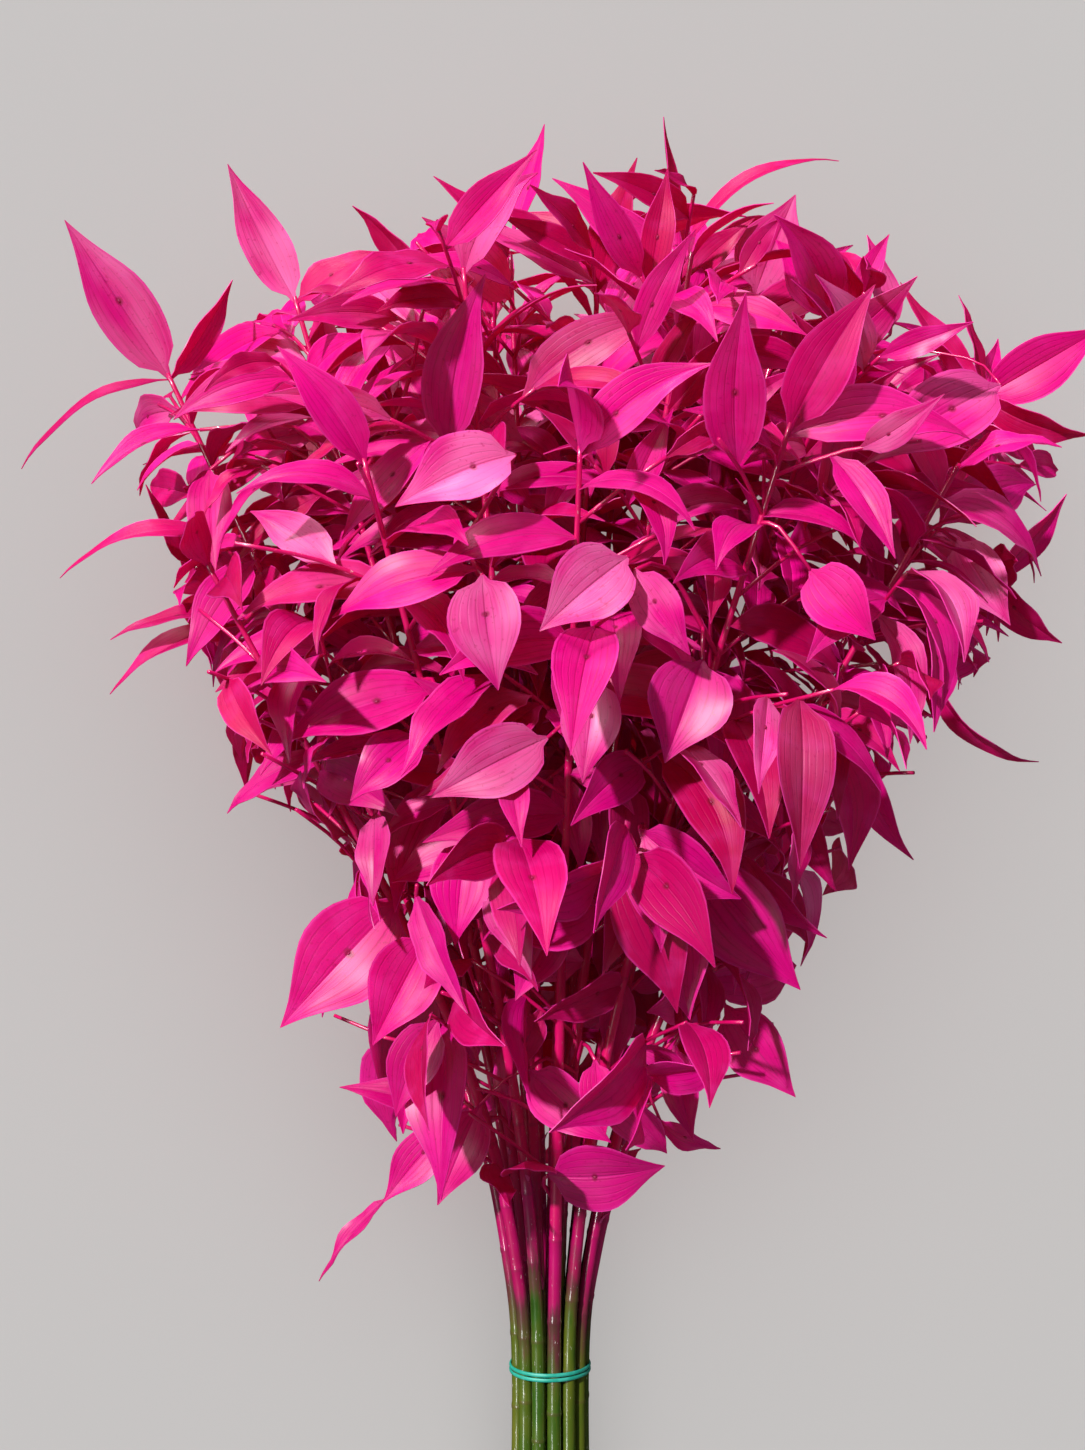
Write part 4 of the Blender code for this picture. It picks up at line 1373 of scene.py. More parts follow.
    def add_twigs(self) -> None:
        """Grows thin twigs between the others, with leaves down them."""
        added = []
        for number, stem in enumerate(self.stems):
            draw = random.Random(f"thin twigs {number}")
            for count, place in enumerate(self.climb(stem, draw, FILL.twig_spacing, FILL.last_twig)):
                added.append(self.try_twig(stem, *stem.place(place), count, draw, FILL.twig_lengths))
        for k, place in enumerate(FILL.places_on_a_new_twig):
            for number, twig in enumerate(added):
                if twig is not None:
                    name = f"on thin twig {number} {k}"
                    hand = 0 if place == twig.number_of_runs() else (-1) ** (number + k)
                    self.try_blade(name, twig, place, hand, fill_of(twig.place(place)[0], name))


class Detail(Enum):
    """How many faces a leaf gets along and across its blade."""

    FINE = (14, 8)
    PLAIN = (11, 6)
    SCALE = (7, 2)


class Part(Enum):
    """The material slot that a face of a leafy stem takes its finish from."""

    LEAF = 0
    BARK = 1
    CUT = 2


# The measures that the finishes read from each corner of a leafy stem
MARKS = ("tone", "crimson", "pale", "scar", "dyed", "joint", "core")
LEAF_MAP = "leaf"


@dataclass(frozen=True)
class DyeHabit:
    """How often and how strongly the dye takes on a leaf in each way, partly as painted light, and how often
    a leaf is scarred.
    """

    # Crimson is partly dye and partly painted shade: its share is raised so the shaded depths look crimson,
    # and it grows towards the crown, where it stands for leaves in shade and lit from behind
    crimson_and_shade_chance: float = 0.28
    crimson_and_shade_by_height: float = 0.22
    crimson: tuple[float, float] = (0.6, 1)
    faint_crimson: tuple[float, float] = (0, 0.3)
    pale_chance: float = 0.18
    pale: tuple[float, float] = (0.5, 1)
    faint_pale: tuple[float, float] = (0, 0.2)
    pale_lost_to_crimson: float = 0.7
    tone: tuple[float, float] = (0, 0.7)
    # Leaves higher up get more tone, which lightens their colour: painted light on the crown
    tone_and_painted_light_by_height: float = 0.4
    scar_chance: float = 0.42


DYE = DyeHabit()


@dataclass(frozen=True)
class LeafLook:
    """What sets one leaf apart from the next: its colour, its scar, its outline and how its edges wave."""

    tone: float
    crimson: float
    pale: float
    scarred: bool
    scar_at: float
    fold: float
    cup: float
    wave: float
    waves: float
    phase: float
    oval: float
    belly: float = 0.84
    bulge: float = 0.9
    thinning: float = 0.5
    thinned: tuple[float, float] = (0.5, 0.95)
    opened: tuple[float, float] = (0, 0.15)
    stalk_ends: tuple[float, float] = (0.06, 0.14)
    trough: float = 0.15
    lag: float = 0.9
    waves_start: tuple[float, float] = (0.05, 0.3)
    waves_end: tuple[float, float] = (1, 0.75)
    thickness: float = 0.34 * MM
    stalk: float = 0.62 * MM
    tip: float = 0.1 * MM

    @classmethod
    def drawn(cls, name: str, height: float, tint: Tint) -> "LeafLook":
        """Draws a leaf's look.

        Args:
            name: The seed of its draws.
            height: How high the leaf sits in the bunch, from 0 to 1.
            tint: How the dye has taken on it.

        Returns:
            The look.
        """
        draw = random.Random(name)
        # More leaves are crimson higher up: partly dye, partly painted shade and light from behind in the
        # crown
        chance = DYE.crimson_and_shade_chance + DYE.crimson_and_shade_by_height * height
        is_crimson = draw.random() < chance if tint is Tint.DRAWN else tint is Tint.CRIMSON
        crimson = draw.uniform(*(DYE.crimson if is_crimson else DYE.faint_crimson))
        is_pale = draw.random() < DYE.pale_chance if tint is Tint.DRAWN else tint is Tint.PALE
        pale = draw.uniform(*(DYE.pale if is_pale else DYE.faint_pale))
        return cls(
            # Tone grows with height, which lightens the crown's leaves as painted light
            tone=draw.uniform(*DYE.tone) + DYE.tone_and_painted_light_by_height * height,
            crimson=crimson,
            pale=pale * (1 - DYE.pale_lost_to_crimson * crimson),
            scarred=draw.random() < DYE.scar_chance,
            scar_at=draw.uniform(0.34, 0.5),
            fold=draw.uniform(0.06, 0.42),
            cup=draw.uniform(-0.08, 0.1),
            wave=draw.uniform(0.3, 1.2) * MM,
            waves=draw.uniform(1.2, 2.6),
            phase=draw.uniform(0, math.tau),
            oval=draw.uniform(0.45, 0.8) + 0.15 * height,
        )


def smooth(low: float, high: float, value: float) -> float:
    """A smooth step from 0 at low to 1 at high."""
    share = min(max((value - low) / (high - low), 0), 1)
    return share * share * (3 - 2 * share)


def between(points: Sequence[Vector], run: int, share: float) -> Vector:
    """Gives a point on the smooth line through points.

    Args:
        points: The points of the line.
        run: The number of the run that it lies on.
        share: The share of that run.

    Returns:
        The point, on a Catmull-Rom curve.
    """
    last = len(points) - 1
    b, c = points[run], points[run + 1]
    a = points[run - 1] if run else b * 2 - c
    d = points[run + 2] if run + 2 <= last else c * 2 - b
    bend = a * -0.5 + b * 1.5 - c * 1.5 + d * 0.5
    pull = a - b * 2.5 + c * 2 - d * 0.5
    return ((bend * share + pull) * share + (c - a) * 0.5) * share + b


def blade_place(blade: Blade, look: LeafLook, share: float, across: float) -> Vector:
    """Gives a point of a blade's curved surface.

    Args:
        blade: The blade.
        look: Its look.
        share: The place along it, from 0 to 1.
        across: The place across it, from -1 to 1.

    Returns:
        The point, before the bunch is centred.
    """
    at = share * LEAF.steps
    run = min(int(at), LEAF.steps - 1)
    middle = between(blade.points, run, at - run)
    side = blade.sides[run].lerp(blade.sides[run + 1], at - run).normalized()
    face = blade.faces[run].lerp(blade.faces[run + 1], at - run).normalized()
    bulge = math.sin(math.pi * share**look.belly) ** look.bulge
    oval = bulge * (1 - look.thinning * smooth(*look.thinned, share)) * blade.width / 2
    full = half_width(share, blade.width) * (1 - look.oval) + oval * look.oval
    stalk = look.stalk * (1 - smooth(*look.stalk_ends, share))
    half = max(full * smooth(*look.opened, share), stalk, look.tip)
    fold = (blade.fold + look.fold) * (abs(across) - look.trough * across**2)
    fold -= look.cup * across**2 * math.sin(math.pi * share)
    lag = look.lag if across > 0 else 0
    ripple = math.sin(math.tau * look.waves * share + look.phase + lag) * across**2
    waviness = look.wave * ripple * smooth(*look.waves_start, share) * smooth(*look.waves_end, share)
    lift = half * fold + waviness
    point = middle + side * half * across + face * lift
    point.z = max(point.z, look.thickness)
    return point


def placed(name: str, data: bpy.types.ID) -> bpy.types.Object:
    """An object of this name and data, in the scene."""
    made = bpy.data.objects.new(name, data)
    bpy.context.scene.collection.objects.link(made)
    return made


class Sculpture:
    """A mesh in the making, with the leaf map and the marks that its finishes read."""

    floor_gap = 0.04 * MM
    midrib_reach = 0.01
    sharpest_smooth = math.radians(42)
    bud = (0.5 * MM, 0.9 * MM, 0.4 * MM)
    bud_lift = 0.1 * MM

    def __init__(self, offset: Vector) -> None:
        """Starts an empty mesh whose points are moved by the offset."""
        self.offset = offset
        self.shape = bmesh.new()
        self.map = self.shape.loops.layers.uv.new(LEAF_MAP)
        self.marks = {name: self.shape.verts.layers.float.new(name) for name in MARKS}

    def mark(self, corners: Iterable[bmesh.types.BMVert], **values: float) -> None:
        """Sets marks on corners."""
        for corner in corners:
            for name, value in values.items():
                corner[self.marks[name]] = value

    def add_leaf(self, blade: Blade, look: LeafLook, detail: Detail) -> None:
        """Adds a blade as a thin sheet with a crisp midrib, which thicken() turns into a solid.

        Args:
            blade: The blade.
            look: Its look.
            detail: How many faces it gets.
        """
        along, across = detail.value
        grid = bmesh.ops.create_grid(self.shape, x_segments=across, y_segments=along, size=1, calc_uvs=True)
        made = grid["verts"]
        midrib = {corner for corner in made if abs(corner.co.x) < self.midrib_reach}
        for edge in {edge for corner in midrib for edge in corner.link_edges}:
            edge.smooth = not midrib.issuperset(edge.verts)
        for corner in made:
            corner.co = blade_place(blade, look, (corner.co.y + 1) / 2, corner.co.x) + self.offset
        scar = look.scar_at if look.scarred else 0
        self.mark(made, tone=look.tone, crimson=look.crimson, pale=look.pale, scar=scar)

    def thicken(self, thickness: float) -> None:
        """Gives the sheets made so far their thickness, below their upper faces, and crisp rims."""
        sheets = self.shape.faces[:]
        bmesh.ops.solidify(self.shape, geom=sheets, thickness=thickness)
        if self.shape.calc_volume(signed=True) < 0:
            bmesh.ops.reverse_faces(self.shape, faces=self.shape.faces)
        for edge in self.shape.edges:
            if edge.calc_face_angle(0) > self.sharpest_smooth:
                edge.smooth = False

    def add_bud(self, blade: Blade, look: LeafLook) -> None:
        """Adds the small dried flower scar on a leaf's midrib.

        Args:
            blade: The blade.
            look: Its look.
        """
        run = int(look.scar_at * LEAF.steps)
        face, side = blade.faces[run], blade.sides[run]
        turned = Matrix((side, face.cross(side), face)).transposed().to_4x4()
        middle = blade_place(blade, look, look.scar_at, 0) + self.offset + face * self.bud_lift
        frame_of_bud = Matrix.Translation(middle) @ turned @ Matrix.Diagonal((*self.bud, 1))
        made = bmesh.ops.create_icosphere(self.shape, subdivisions=1, radius=1, matrix=frame_of_bud)
        self.mark(made["verts"], tone=look.tone, crimson=1, scar=2)

    def extrude(
        self,
        frames: Sequence[Matrix],
        sides: int,
        marks: Sequence[Mapping[str, float]] = (),
        closed: bool = False,
    ) -> None:
        """Runs a round section through frames, ring by ring, in a mesh that is empty so far.

        Args:
            frames: Where each ring lies, and how large it is.
            sides: The number of sides of the section.
            marks: What is marked on each ring, if anything is.
            closed: Whether the last ring meets the first, rather than both being capped.
        """
        shape = self.shape
        made = bmesh.ops.create_circle(
            shape, cap_ends=not closed, segments=sides, radius=1, matrix=frames[0]
        )
        rings = [made["verts"]]
        first = edges = list(dict.fromkeys(edge for corner in rings[0] for edge in corner.link_edges))
        for before, after in zip(frames, frames[1:]):
            made = bmesh.ops.extrude_edge_only(shape, edges=edges)["geom"]
            edges = [item for item in made if isinstance(item, bmesh.types.BMEdge)]
            edges = [edge for edge in edges if len(edge.link_faces) == 1]
            rings.append([item for item in made if isinstance(item, bmesh.types.BMVert)])
            bmesh.ops.transform(shape, matrix=after @ before.inverted(), verts=rings[-1])
        for ring, values in zip(rings, marks):
            self.mark(ring, **values)
        if closed:
            bmesh.ops.bridge_loops(shape, edges=first + edges)
        else:
            bmesh.ops.contextual_create(shape, geom=edges)
        bmesh.ops.recalc_face_normals(shape, faces=shape.faces)
        for face in shape.faces:
            face.smooth = True

    def sweep(
        self, line: Sequence[Vector], radii: Sequence[float], sides: int, marks: Sequence[Mapping[str, float]]
    ) -> "Sculpture":
        """Makes a round tube of bark along a line.

        Args:
            line: The points of the line.
            radii: The radius at each.
            sides: The number of sides of the section.
            marks: What is marked on each ring.

        Returns:
            The tube, to be changed further and then taken in.
        """
        frames, heading = [], None
        for i, (point, radius) in enumerate(zip(line, radii, strict=True)):
            ahead = (line[min(i + 1, len(line) - 1)] - line[max(i - 1, 0)]).normalized()
            if heading is None:
                spin = ahead.to_track_quat("Z", "Y")
            else:
                spin = heading.rotation_difference(ahead) @ spin
            heading = ahead
            turned, sized = spin.to_matrix().to_4x4(), Matrix.Scale(radius, 4)
            frames.append(Matrix.Translation(point + self.offset) @ turned @ sized)
        tube = Sculpture(self.offset)
        tube.extrude(frames, sides, marks)
        for face in tube.shape.faces:
            face.material_index = Part.BARK.value
        return tube

    def take_in(self, other: "Sculpture") -> None:
        """Adds another mesh to this one."""
        carrier = bpy.data.meshes.new("carrier")
        other.shape.to_mesh(carrier)
        other.shape.free()
        self.shape.from_mesh(carrier)
        bpy.data.meshes.remove(carrier)

    def finish(self, name: str, finishes: Sequence[bpy.types.Material]) -> bpy.types.Object:
        """Makes the mesh an object at the origin.

        Args:
            name: The object's name.
            finishes: Its materials, slot by slot.

        Returns:
            The object, riding with the bunch.
        """
        for corner in self.shape.verts:
            corner.co.z = max(corner.co.z, self.floor_gap)
        mesh = bpy.data.meshes.new(name)
        self.shape.to_mesh(mesh)
        self.shape.free()
        for finish in finishes:
            mesh.materials.append(finish)
        made = placed(name, mesh)
        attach(made, "root")
        return made


@dataclass(frozen=True)
class ScaleHabit:
    """The small curled dry scales at some joints above the band: where they sit, their size and bends."""

    reach: tuple[float, float] = (30 * MM, 130 * MM)
    share: float = 0.55
    swing: float = 0.8
    sunk_to: float = 0.9
    curls: tuple[float, float] = (-1.6, 1.2)
    sway: float = 0.6
    twist: float = 0.8
    lengths_in_mm: tuple[float, float] = (4, 8)
    slenderness: float = 0.28
    lean: float = 0.14
    height: float = 0.2
    wave: float = 0.1 * MM
    stalk: float = 0.3 * MM


SCALE = ScaleHabit()


@dataclass
class LeafyStem:
    """One stem of the bunch with its twigs and leaves, all one piece."""

    number: int
    stem: Twig
    twigs: list[Twig]
    blades: list[Blade]
    offset: Vector
    ring_spacing: float = 7 * MM
    twig_ring_spacing: float = 14 * MM
    stem_sides: int = 14
    twig_sides: int = 7
    # Twigs take the lightest bark pink, partly painted light against the shade of the leaves round them
    twig_dye_and_light: float = 3
    node_spacing: tuple[float, float] = (24 * MM, 40 * MM)
    first_node: tuple[float, float] = (0.4, 1)
    node_length: float = 1.5 * MM
    node_rings: tuple[float, ...] = (-1, -0.35, 0.35, 1)
    node_clearance: float = 2.2
    node_swelling: float = 0.13
    rim: float = 0.28 * MM
    pith_depth: float = 0.12 * MM
    fullness: tuple[float, float] = (0.08, 0.2)
    full_to: tuple[float, float] = (90 * MM, 190 * MM)
    fade: tuple[float, float] = (18 * MM, 52 * MM)
    fade_length: float = 20 * MM

    def __post_init__(self) -> None:
        """Draws what is particular to this stem."""
        self.draw = random.Random(f"stem {self.number}")
        self.fades_at = self.draw.uniform(*self.fade)
        self.tone = self.draw.random()
        is_outer = self.number >= sum(count for count, _, _ in STEM.rings[:-1])
        self.extra = self.draw.uniform(*self.fullness) if is_outer else 0

    def length(self) -> float:
        """The length of the main stem's centre line."""
        return sum((b - a).length for a, b in zip(self.stem.points, self.stem.points[1:]))

    def nodes(self) -> list[float]:
        """Draws the distances of the old leaf joints from the cut end.

        Returns:
            The distances, from the lowest up.
        """
        draw = random.Random(f"joints {self.number}")
        found, at = [], draw.uniform(*self.first_node) * self.node_spacing[0]
        while at < self.length() - self.node_spacing[0]:
            found.append(at)
            at += draw.uniform(*self.node_spacing)
        return found

    def add_scales(self, sculpture: Sculpture) -> None:
        """Adds the small curled dry scales that are left at some joints above the band."""
        close, draw = self.measured(self.stem.points, self.ring_spacing), self.draw
        for at in self.nodes():
            if not SCALE.reach[0] < at - STEM.cut_length < SCALE.reach[1] or draw.random() > SCALE.share:
                continue
            (_, here), (_, above) = [(d, p) for d, p in close if d >= at][:2]
            along = (above - here).normalized()
            out = turn(square_to(along, OUTWARD), along, draw.uniform(-SCALE.swing, SCALE.swing))
            foot = here + out * STEM.radius * SCALE.sunk_to
            curl, sway = draw.uniform(*SCALE.curls), draw.uniform(-SCALE.sway, SCALE.sway)
            bends = Bends(curl=curl, sway=sway, twist=SCALE.twist)
            length = draw.uniform(*SCALE.lengths_in_mm) * MM
            ahead, width = along + out * SCALE.lean, SCALE.slenderness * length
            blade = grow_blade(self.number, foot, ahead, -out, length, width, bends)
            look = LeafLook.drawn(f"scrap {self.number} {at:.3f}", SCALE.height, Tint.PALE)
            look = replace(look, wave=SCALE.wave, scarred=False, stalk=SCALE.stalk)
            sculpture.add_leaf(blade, look, Detail.SCALE)

    def measured(self, line: Sequence[Vector], spacing: float) -> list[tuple[float, Vector]]:
        """Gives close points along a line with their distance from its start.

        Args:
            line: The points of the line.
            spacing: How far apart the close points may be.

        Returns:
            Each distance and point.
        """
        found, travelled, before = [], 0.0, line[0]
        for run in range(len(line) - 1):
            steps = max(2, math.ceil((line[run + 1] - line[run]).length / spacing))
            for i in range(steps + (run == len(line) - 2)):
                point = between(line, run, i / steps)
                travelled += (point - before).length
                before = point
                found.append((travelled, point))
        return found

    def build(self, finishes: Sequence[bpy.types.Material]) -> bpy.types.Object:
        """Builds the piece and puts it in the place of its solid.

        Args:
            finishes: The finishes of leaf, bark and cut wood.

        Returns:
            The piece.
        """
        sculpture = Sculpture(self.offset)
        looks = []
        for k, blade in enumerate(self.blades):
            height = height_of(blade.points[0]) / LEAF.crown[1]
            look = LeafLook.drawn(f"look {self.number} {k}", height, blade.tint)
            sculpture.add_leaf(blade, look, Detail.FINE if blade.shown else Detail.PLAIN)
            looks.append(look)
        self.add_scales(sculpture)
        sculpture.thicken(LeafLook.thickness)
        for face in sculpture.shape.faces:
            face.smooth = True
        for blade, look in zip(self.blades, looks):
            if look.scarred:
                sculpture.add_bud(blade, look)
        for twig in self.twigs:
            self.add_twig(sculpture, twig)
        self.add_stem(sculpture)
        piece = sculpture.finish(f"ruscus_stem_{self.number + 1:02d}", finishes)
        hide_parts(f"leafy_stem_{self.number + 1:02d}")
        return piece

    def add_twig(self, sculpture: Sculpture, twig: Twig) -> None:
        """Adds a side twig."""
        close = self.measured(twig.points, self.twig_ring_spacing)
        total = close[-1][0]
        radii = [float(np.interp(at / total, (0, 0.5, 1), twig.radii)) for at, _ in close]
        marks = [{"tone": self.tone, "dyed": self.twig_dye_and_light}] * len(close)
        sculpture.take_in(sculpture.sweep([point for _, point in close], radii, self.twig_sides, marks))

    def add_stem(self, sculpture: Sculpture) -> None:
        """Adds the main stem with its old leaf joints and its cut end."""
        nodes = self.nodes()
        rough = self.measured(self.stem.points, self.ring_spacing)
        spots = [at for at, _ in rough]
        rings = [node + shift * self.node_length for node in nodes for shift in self.node_rings]
        clearance = self.node_clearance * self.node_length
        rings += [at for at in spots if all(abs(at - node) > clearance for node in nodes)]
        line, radii, marks = [], [], []
        corner_distances = [0.0]
        for a, b in zip(self.stem.points, self.stem.points[1:]):
            corner_distances.append(corner_distances[-1] + (b - a).length)
        for at in sorted(rings):
            line.append(Vector([float(np.interp(at, spots, [p[k] for _, p in rough])) for k in range(3)]))
            swell = max([0.0] + [1 - abs(at - node) / self.node_length for node in nodes])
            plain = float(np.interp(at, corner_distances, self.stem.radii))
            fuller = self.extra * float(np.interp(at - STEM.cut_length, self.full_to, (1, 0)))
            radii.append(plain * (1 + self.node_swelling * swell + fuller))
            dyed = (at - STEM.cut_length - self.fades_at) / self.fade_length
            marks.append({"tone": self.tone, "dyed": dyed, "joint": swell})
        tube = sculpture.sweep(line, radii, self.stem_sides, marks)
        self.cut(tube, line[0] + self.offset)
        sculpture.take_in(tube)

    def cut(self, tube: Sculpture, middle: Vector) -> None:
        """Shows the wood and the pith in the cut end, whose middle is given."""
        shape = tube.shape
        end = min(shape.faces, key=lambda face: (face.calc_center_median() - middle).length)
        bmesh.ops.inset_region(shape, faces=[end], thickness=self.rim, depth=0.0)
        made = bmesh.ops.poke(shape, faces=[end], offset=-self.pith_depth)
        tube.mark(made["verts"], core=1)
        for face in made["faces"]:
            face.material_index = Part.CUT.value
            face.smooth = False


@dataclass
class RubberBand:
    """A rubber band that goes twice round the stems."""

    offset: Vector
    radius: float = 0.7 * MM
    section: tuple[float, float] = (0.66, 1.1)
    step_over: float = 1.1 * MM
    apart: tuple[float, float] = (0.78 * MM, 1.15 * MM)
    apart_waves: float = 1.5
    apart_phase: float = 2.6
    crossing_length: float = 0.3
    clearance: float = 0.05 * MM
    crossing: float = math.radians(262)
    points: int = 176
    sides: int = 10

    def line(self) -> list[Vector]:
        """Gives the loop: two passes side by side, which cross once at the back.

        Returns:
            The points of the loop.
        """
        wall = STEM.rings[-1][1] + STEM.radius + self.clearance
        points = []
        for i in range(self.points):
            angle = 4 * math.pi * i / self.points
            lane = math.sin(angle / 2)
            over = max(math.cos(angle / 2), 0) * (1 - smooth(0, self.crossing_length, abs(lane)))
            radius = wall + self.radius * self.section[0] + self.step_over * over
            wave = 0.5 + 0.5 * math.cos(angle * self.apart_waves + self.apart_phase)
            apart = self.apart[0] + (self.apart[1] - self.apart[0]) * wave
            up = apart * math.copysign(smooth(0, self.crossing_length, abs(lane)), lane)
            about = angle + self.crossing
            points.append(bunch_point(radius * math.cos(about), up, radius * math.sin(about)))
        return points

    def build(self, finish: bpy.types.Material) -> bpy.types.Object:
        """Builds the band and puts it in the place of its solid.

        Args:
            finish: Its material.

        Returns:
            The piece.
        """
        line = self.line()
        thin, wide = (self.radius * share for share in self.section)
        sized = Matrix.Diagonal((thin, wide, self.radius, 1))
        frames = []
        for i, point in enumerate(line):
            ahead = (line[(i + 1) % len(line)] - line[i - 1]).normalized()
            spoke = square_to(ahead, point - BAND_MIDDLE)
            turned = Matrix((spoke, ahead.cross(spoke), ahead)).transposed().to_4x4()
            frames.append(Matrix.Translation(point + self.offset) @ turned @ sized)
        sculpture = Sculpture(self.offset)
        sculpture.extrude(frames, self.sides, closed=True)
        piece = sculpture.finish("teal_band", [finish])
        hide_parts("rubber_band")
        return piece


class Wire:
    """A number in a finish's node tree that sums can be written on."""

    def __init__(self, paint: "Paint", socket: bpy.types.NodeSocket) -> None:
        """Wraps a node's output."""
        self.paint = paint
        self.socket = socket

    def sum(self, operation: str, *values: "Wire | float") -> "Wire":
        """The result of a Math node on values."""
        made = self.paint.node("ShaderNodeMath", {"operation": operation}, dict(enumerate(values)))
        return Wire(self.paint, made.outputs[0])

    def __add__(self, other: "Wire | float") -> "Wire":
        """This plus the other."""
        return self.sum("ADD", self, other)

    __radd__ = __add__

    def __sub__(self, other: "Wire | float") -> "Wire":
        """This less the other."""
        return self.sum("SUBTRACT", self, other)

    def __rsub__(self, other: "Wire | float") -> "Wire":
        """The other less this."""
        return self.sum("SUBTRACT", other, self)

    def __mul__(self, other: "Wire | float") -> "Wire":
        """This times the other."""
        return self.sum("MULTIPLY", self, other)

    __rmul__ = __mul__

    def __pow__(self, other: "Wire | float") -> "Wire":
        """This to the power of the other."""
        return self.sum("POWER", self, other)

    def __abs__(self) -> "Wire":
        """This without its sign."""
        return self.sum("ABSOLUTE", self)

    def sine(self) -> "Wire":
        """The sine of this."""
        return self.sum("SINE", self)

    def step(self, low: float, high: float) -> "Wire":
        """A smooth step from 0 where this is low to 1 where it is high, or down if low is the greater."""
        rising = low < high
        ends = {"From Min": min(low, high), "From Max": max(low, high)}
        made = self.paint.node(
            "ShaderNodeMapRange",
            {"interpolation_type": "SMOOTHSTEP", "clamp": True},
            {"Value": self, **ends, "To Min": float(not rising), "To Max": float(rising)},
        )
        return Wire(self.paint, made.outputs[0])


class Paint:
    """A material in the making."""

    def __init__(self, name: str) -> None:
        """Starts an empty material."""
        self.material = bpy.data.materials.new(name)
        self.material.use_nodes = True
        self.tree = self.material.node_tree
        self.tree.nodes.clear()

    def node(self, kind: str, settings: Mapping[str, object], sockets: Mapping) -> bpy.types.Node:
        """Adds a node.

        Args:
            kind: Its type.
            settings: Its settings by name, which are set first.
            sockets: The value or link of each input, by name or number.

        Returns:
            The node.
        """
        made = self.tree.nodes.new(kind)
        for name, value in settings.items():
            setattr(made, name, value)
        for name, value in sockets.items():
            if isinstance(value, Wire):
                self.tree.links.new(value.socket, made.inputs[name])
            elif isinstance(value, bpy.types.NodeSocket):
                self.tree.links.new(value, made.inputs[name])
            else:
                made.inputs[name].default_value = value
        return made

    def mark(self, name: str) -> Wire:
        """The mark of this name at a point of the surface."""
        made = self.node("ShaderNodeAttribute", {"attribute_type": "GEOMETRY", "attribute_name": name}, {})
        return Wire(self, made.outputs["Fac"])

    def leaf_place(self) -> tuple[Wire, Wire]:
        """The place across a leaf and along it, each from 0 to 1."""
        place = self.node("ShaderNodeUVMap", {"uv_map": LEAF_MAP}, {}).outputs["UV"]
        apart = self.node("ShaderNodeSeparateXYZ", {}, {"Vector": place})
        return Wire(self, apart.outputs["X"]), Wire(self, apart.outputs["Y"])

    def own_place(self, stretch: tuple[float, float, float]) -> bpy.types.NodeSocket:
        """The point of the surface in metres, stretched."""
        place = self.node("ShaderNodeTexCoord", {}, {}).outputs["Object"]
        return self.node("ShaderNodeMapping", {}, {"Vector": place, "Scale": stretch}).outputs["Vector"]

    def vector(self, x: "Wire | float", y: "Wire | float", z: "Wire | float") -> bpy.types.NodeSocket:
        """A vector from three numbers."""
        return self.node("ShaderNodeCombineXYZ", {}, {"X": x, "Y": y, "Z": z}).outputs["Vector"]

    def noise(self, place: bpy.types.NodeSocket, scale: float, detail: float, rough: float) -> Wire:
        """Soft noise from 0 to 1 at a place."""
        sockets = {"Vector": place, "Scale": scale, "Detail": detail, "Roughness": rough}
        return Wire(self, self.node("ShaderNodeTexNoise", {}, sockets).outputs[0])

    def grain(self, grain: "Grain") -> Wire:
        """Noise over the whole surface, stretched as the grain says."""
        return self.noise(self.own_place(grain.stretch), grain.scale, grain.detail, grain.rough)

    def leaf_grain(self, u: Wire, v: Wire, tone: Wire, grain: "LeafGrain") -> Wire:
        """Noise over a leaf's own map, different from leaf to leaf."""
        place = self.vector(u * grain.across, v * grain.along, tone * grain.spread + grain.shift)
        return self.noise(place, 1.0, grain.detail, grain.rough)

    def blend(self, factor: "Wire | float", low: object, high: object) -> bpy.types.NodeSocket:
        """Gives a colour between two.

        Args:
            factor: 0 for the first and 1 for the second.
            low: The first colour, or the link that gives it.
            high: The second colour.

        Returns:
            The colour's socket.
        """
        colours = {6: low, 7: high}
        values = {k: (*c, 1) if isinstance(c, tuple) else c for k, c in colours.items()}
        made = self.node("ShaderNodeMix", {"data_type": "RGBA", "clamp_factor": True}, {0: factor, **values})
        return made.outputs[2]

    def layered(self, base: object, *layers: tuple["Wire | float", object]) -> bpy.types.NodeSocket:
        """Gives a colour with others laid over it in turn.

        Args:
            base: The lowest colour, or the link that gives it.
            layers: How far each next colour covers what lies below it, from 0 to 1, and that colour.

        Returns:
            The colour's socket.
        """
        for mask, colour in layers:
            base = self.blend(mask, base, colour)
        return base

    def scaled(self, colour: bpy.types.NodeSocket, gain: Wire) -> bpy.types.NodeSocket:
        """A colour made lighter or darker by a gain."""
        made = self.node("ShaderNodeVectorMath", {"operation": "SCALE"}, {"Vector": colour, "Scale": gain})
        return made.outputs["Vector"]

    def bump(self, height: Wire, strength: float, depth: float) -> bpy.types.NodeSocket:
        """The normal of a surface with this relief."""
        made = self.node("ShaderNodeBump", {}, {"Strength": strength, "Distance": depth, "Height": height})
        return made.outputs["Normal"]

    def surface(self, sockets: Mapping) -> bpy.types.Node:
        """The shader of a solid surface with these values and links."""
        return self.node("ShaderNodeBsdfPrincipled", {}, sockets)

    def done(self, shader: bpy.types.Node) -> bpy.types.Material:
        """The material, with this shader on its surface."""
        self.node("ShaderNodeOutputMaterial", {}, {"Surface": shader.outputs[0]})
        return self.material


Colour = tuple[float, float, float]
# A bump's strength and its depth
Relief = tuple[float, float]


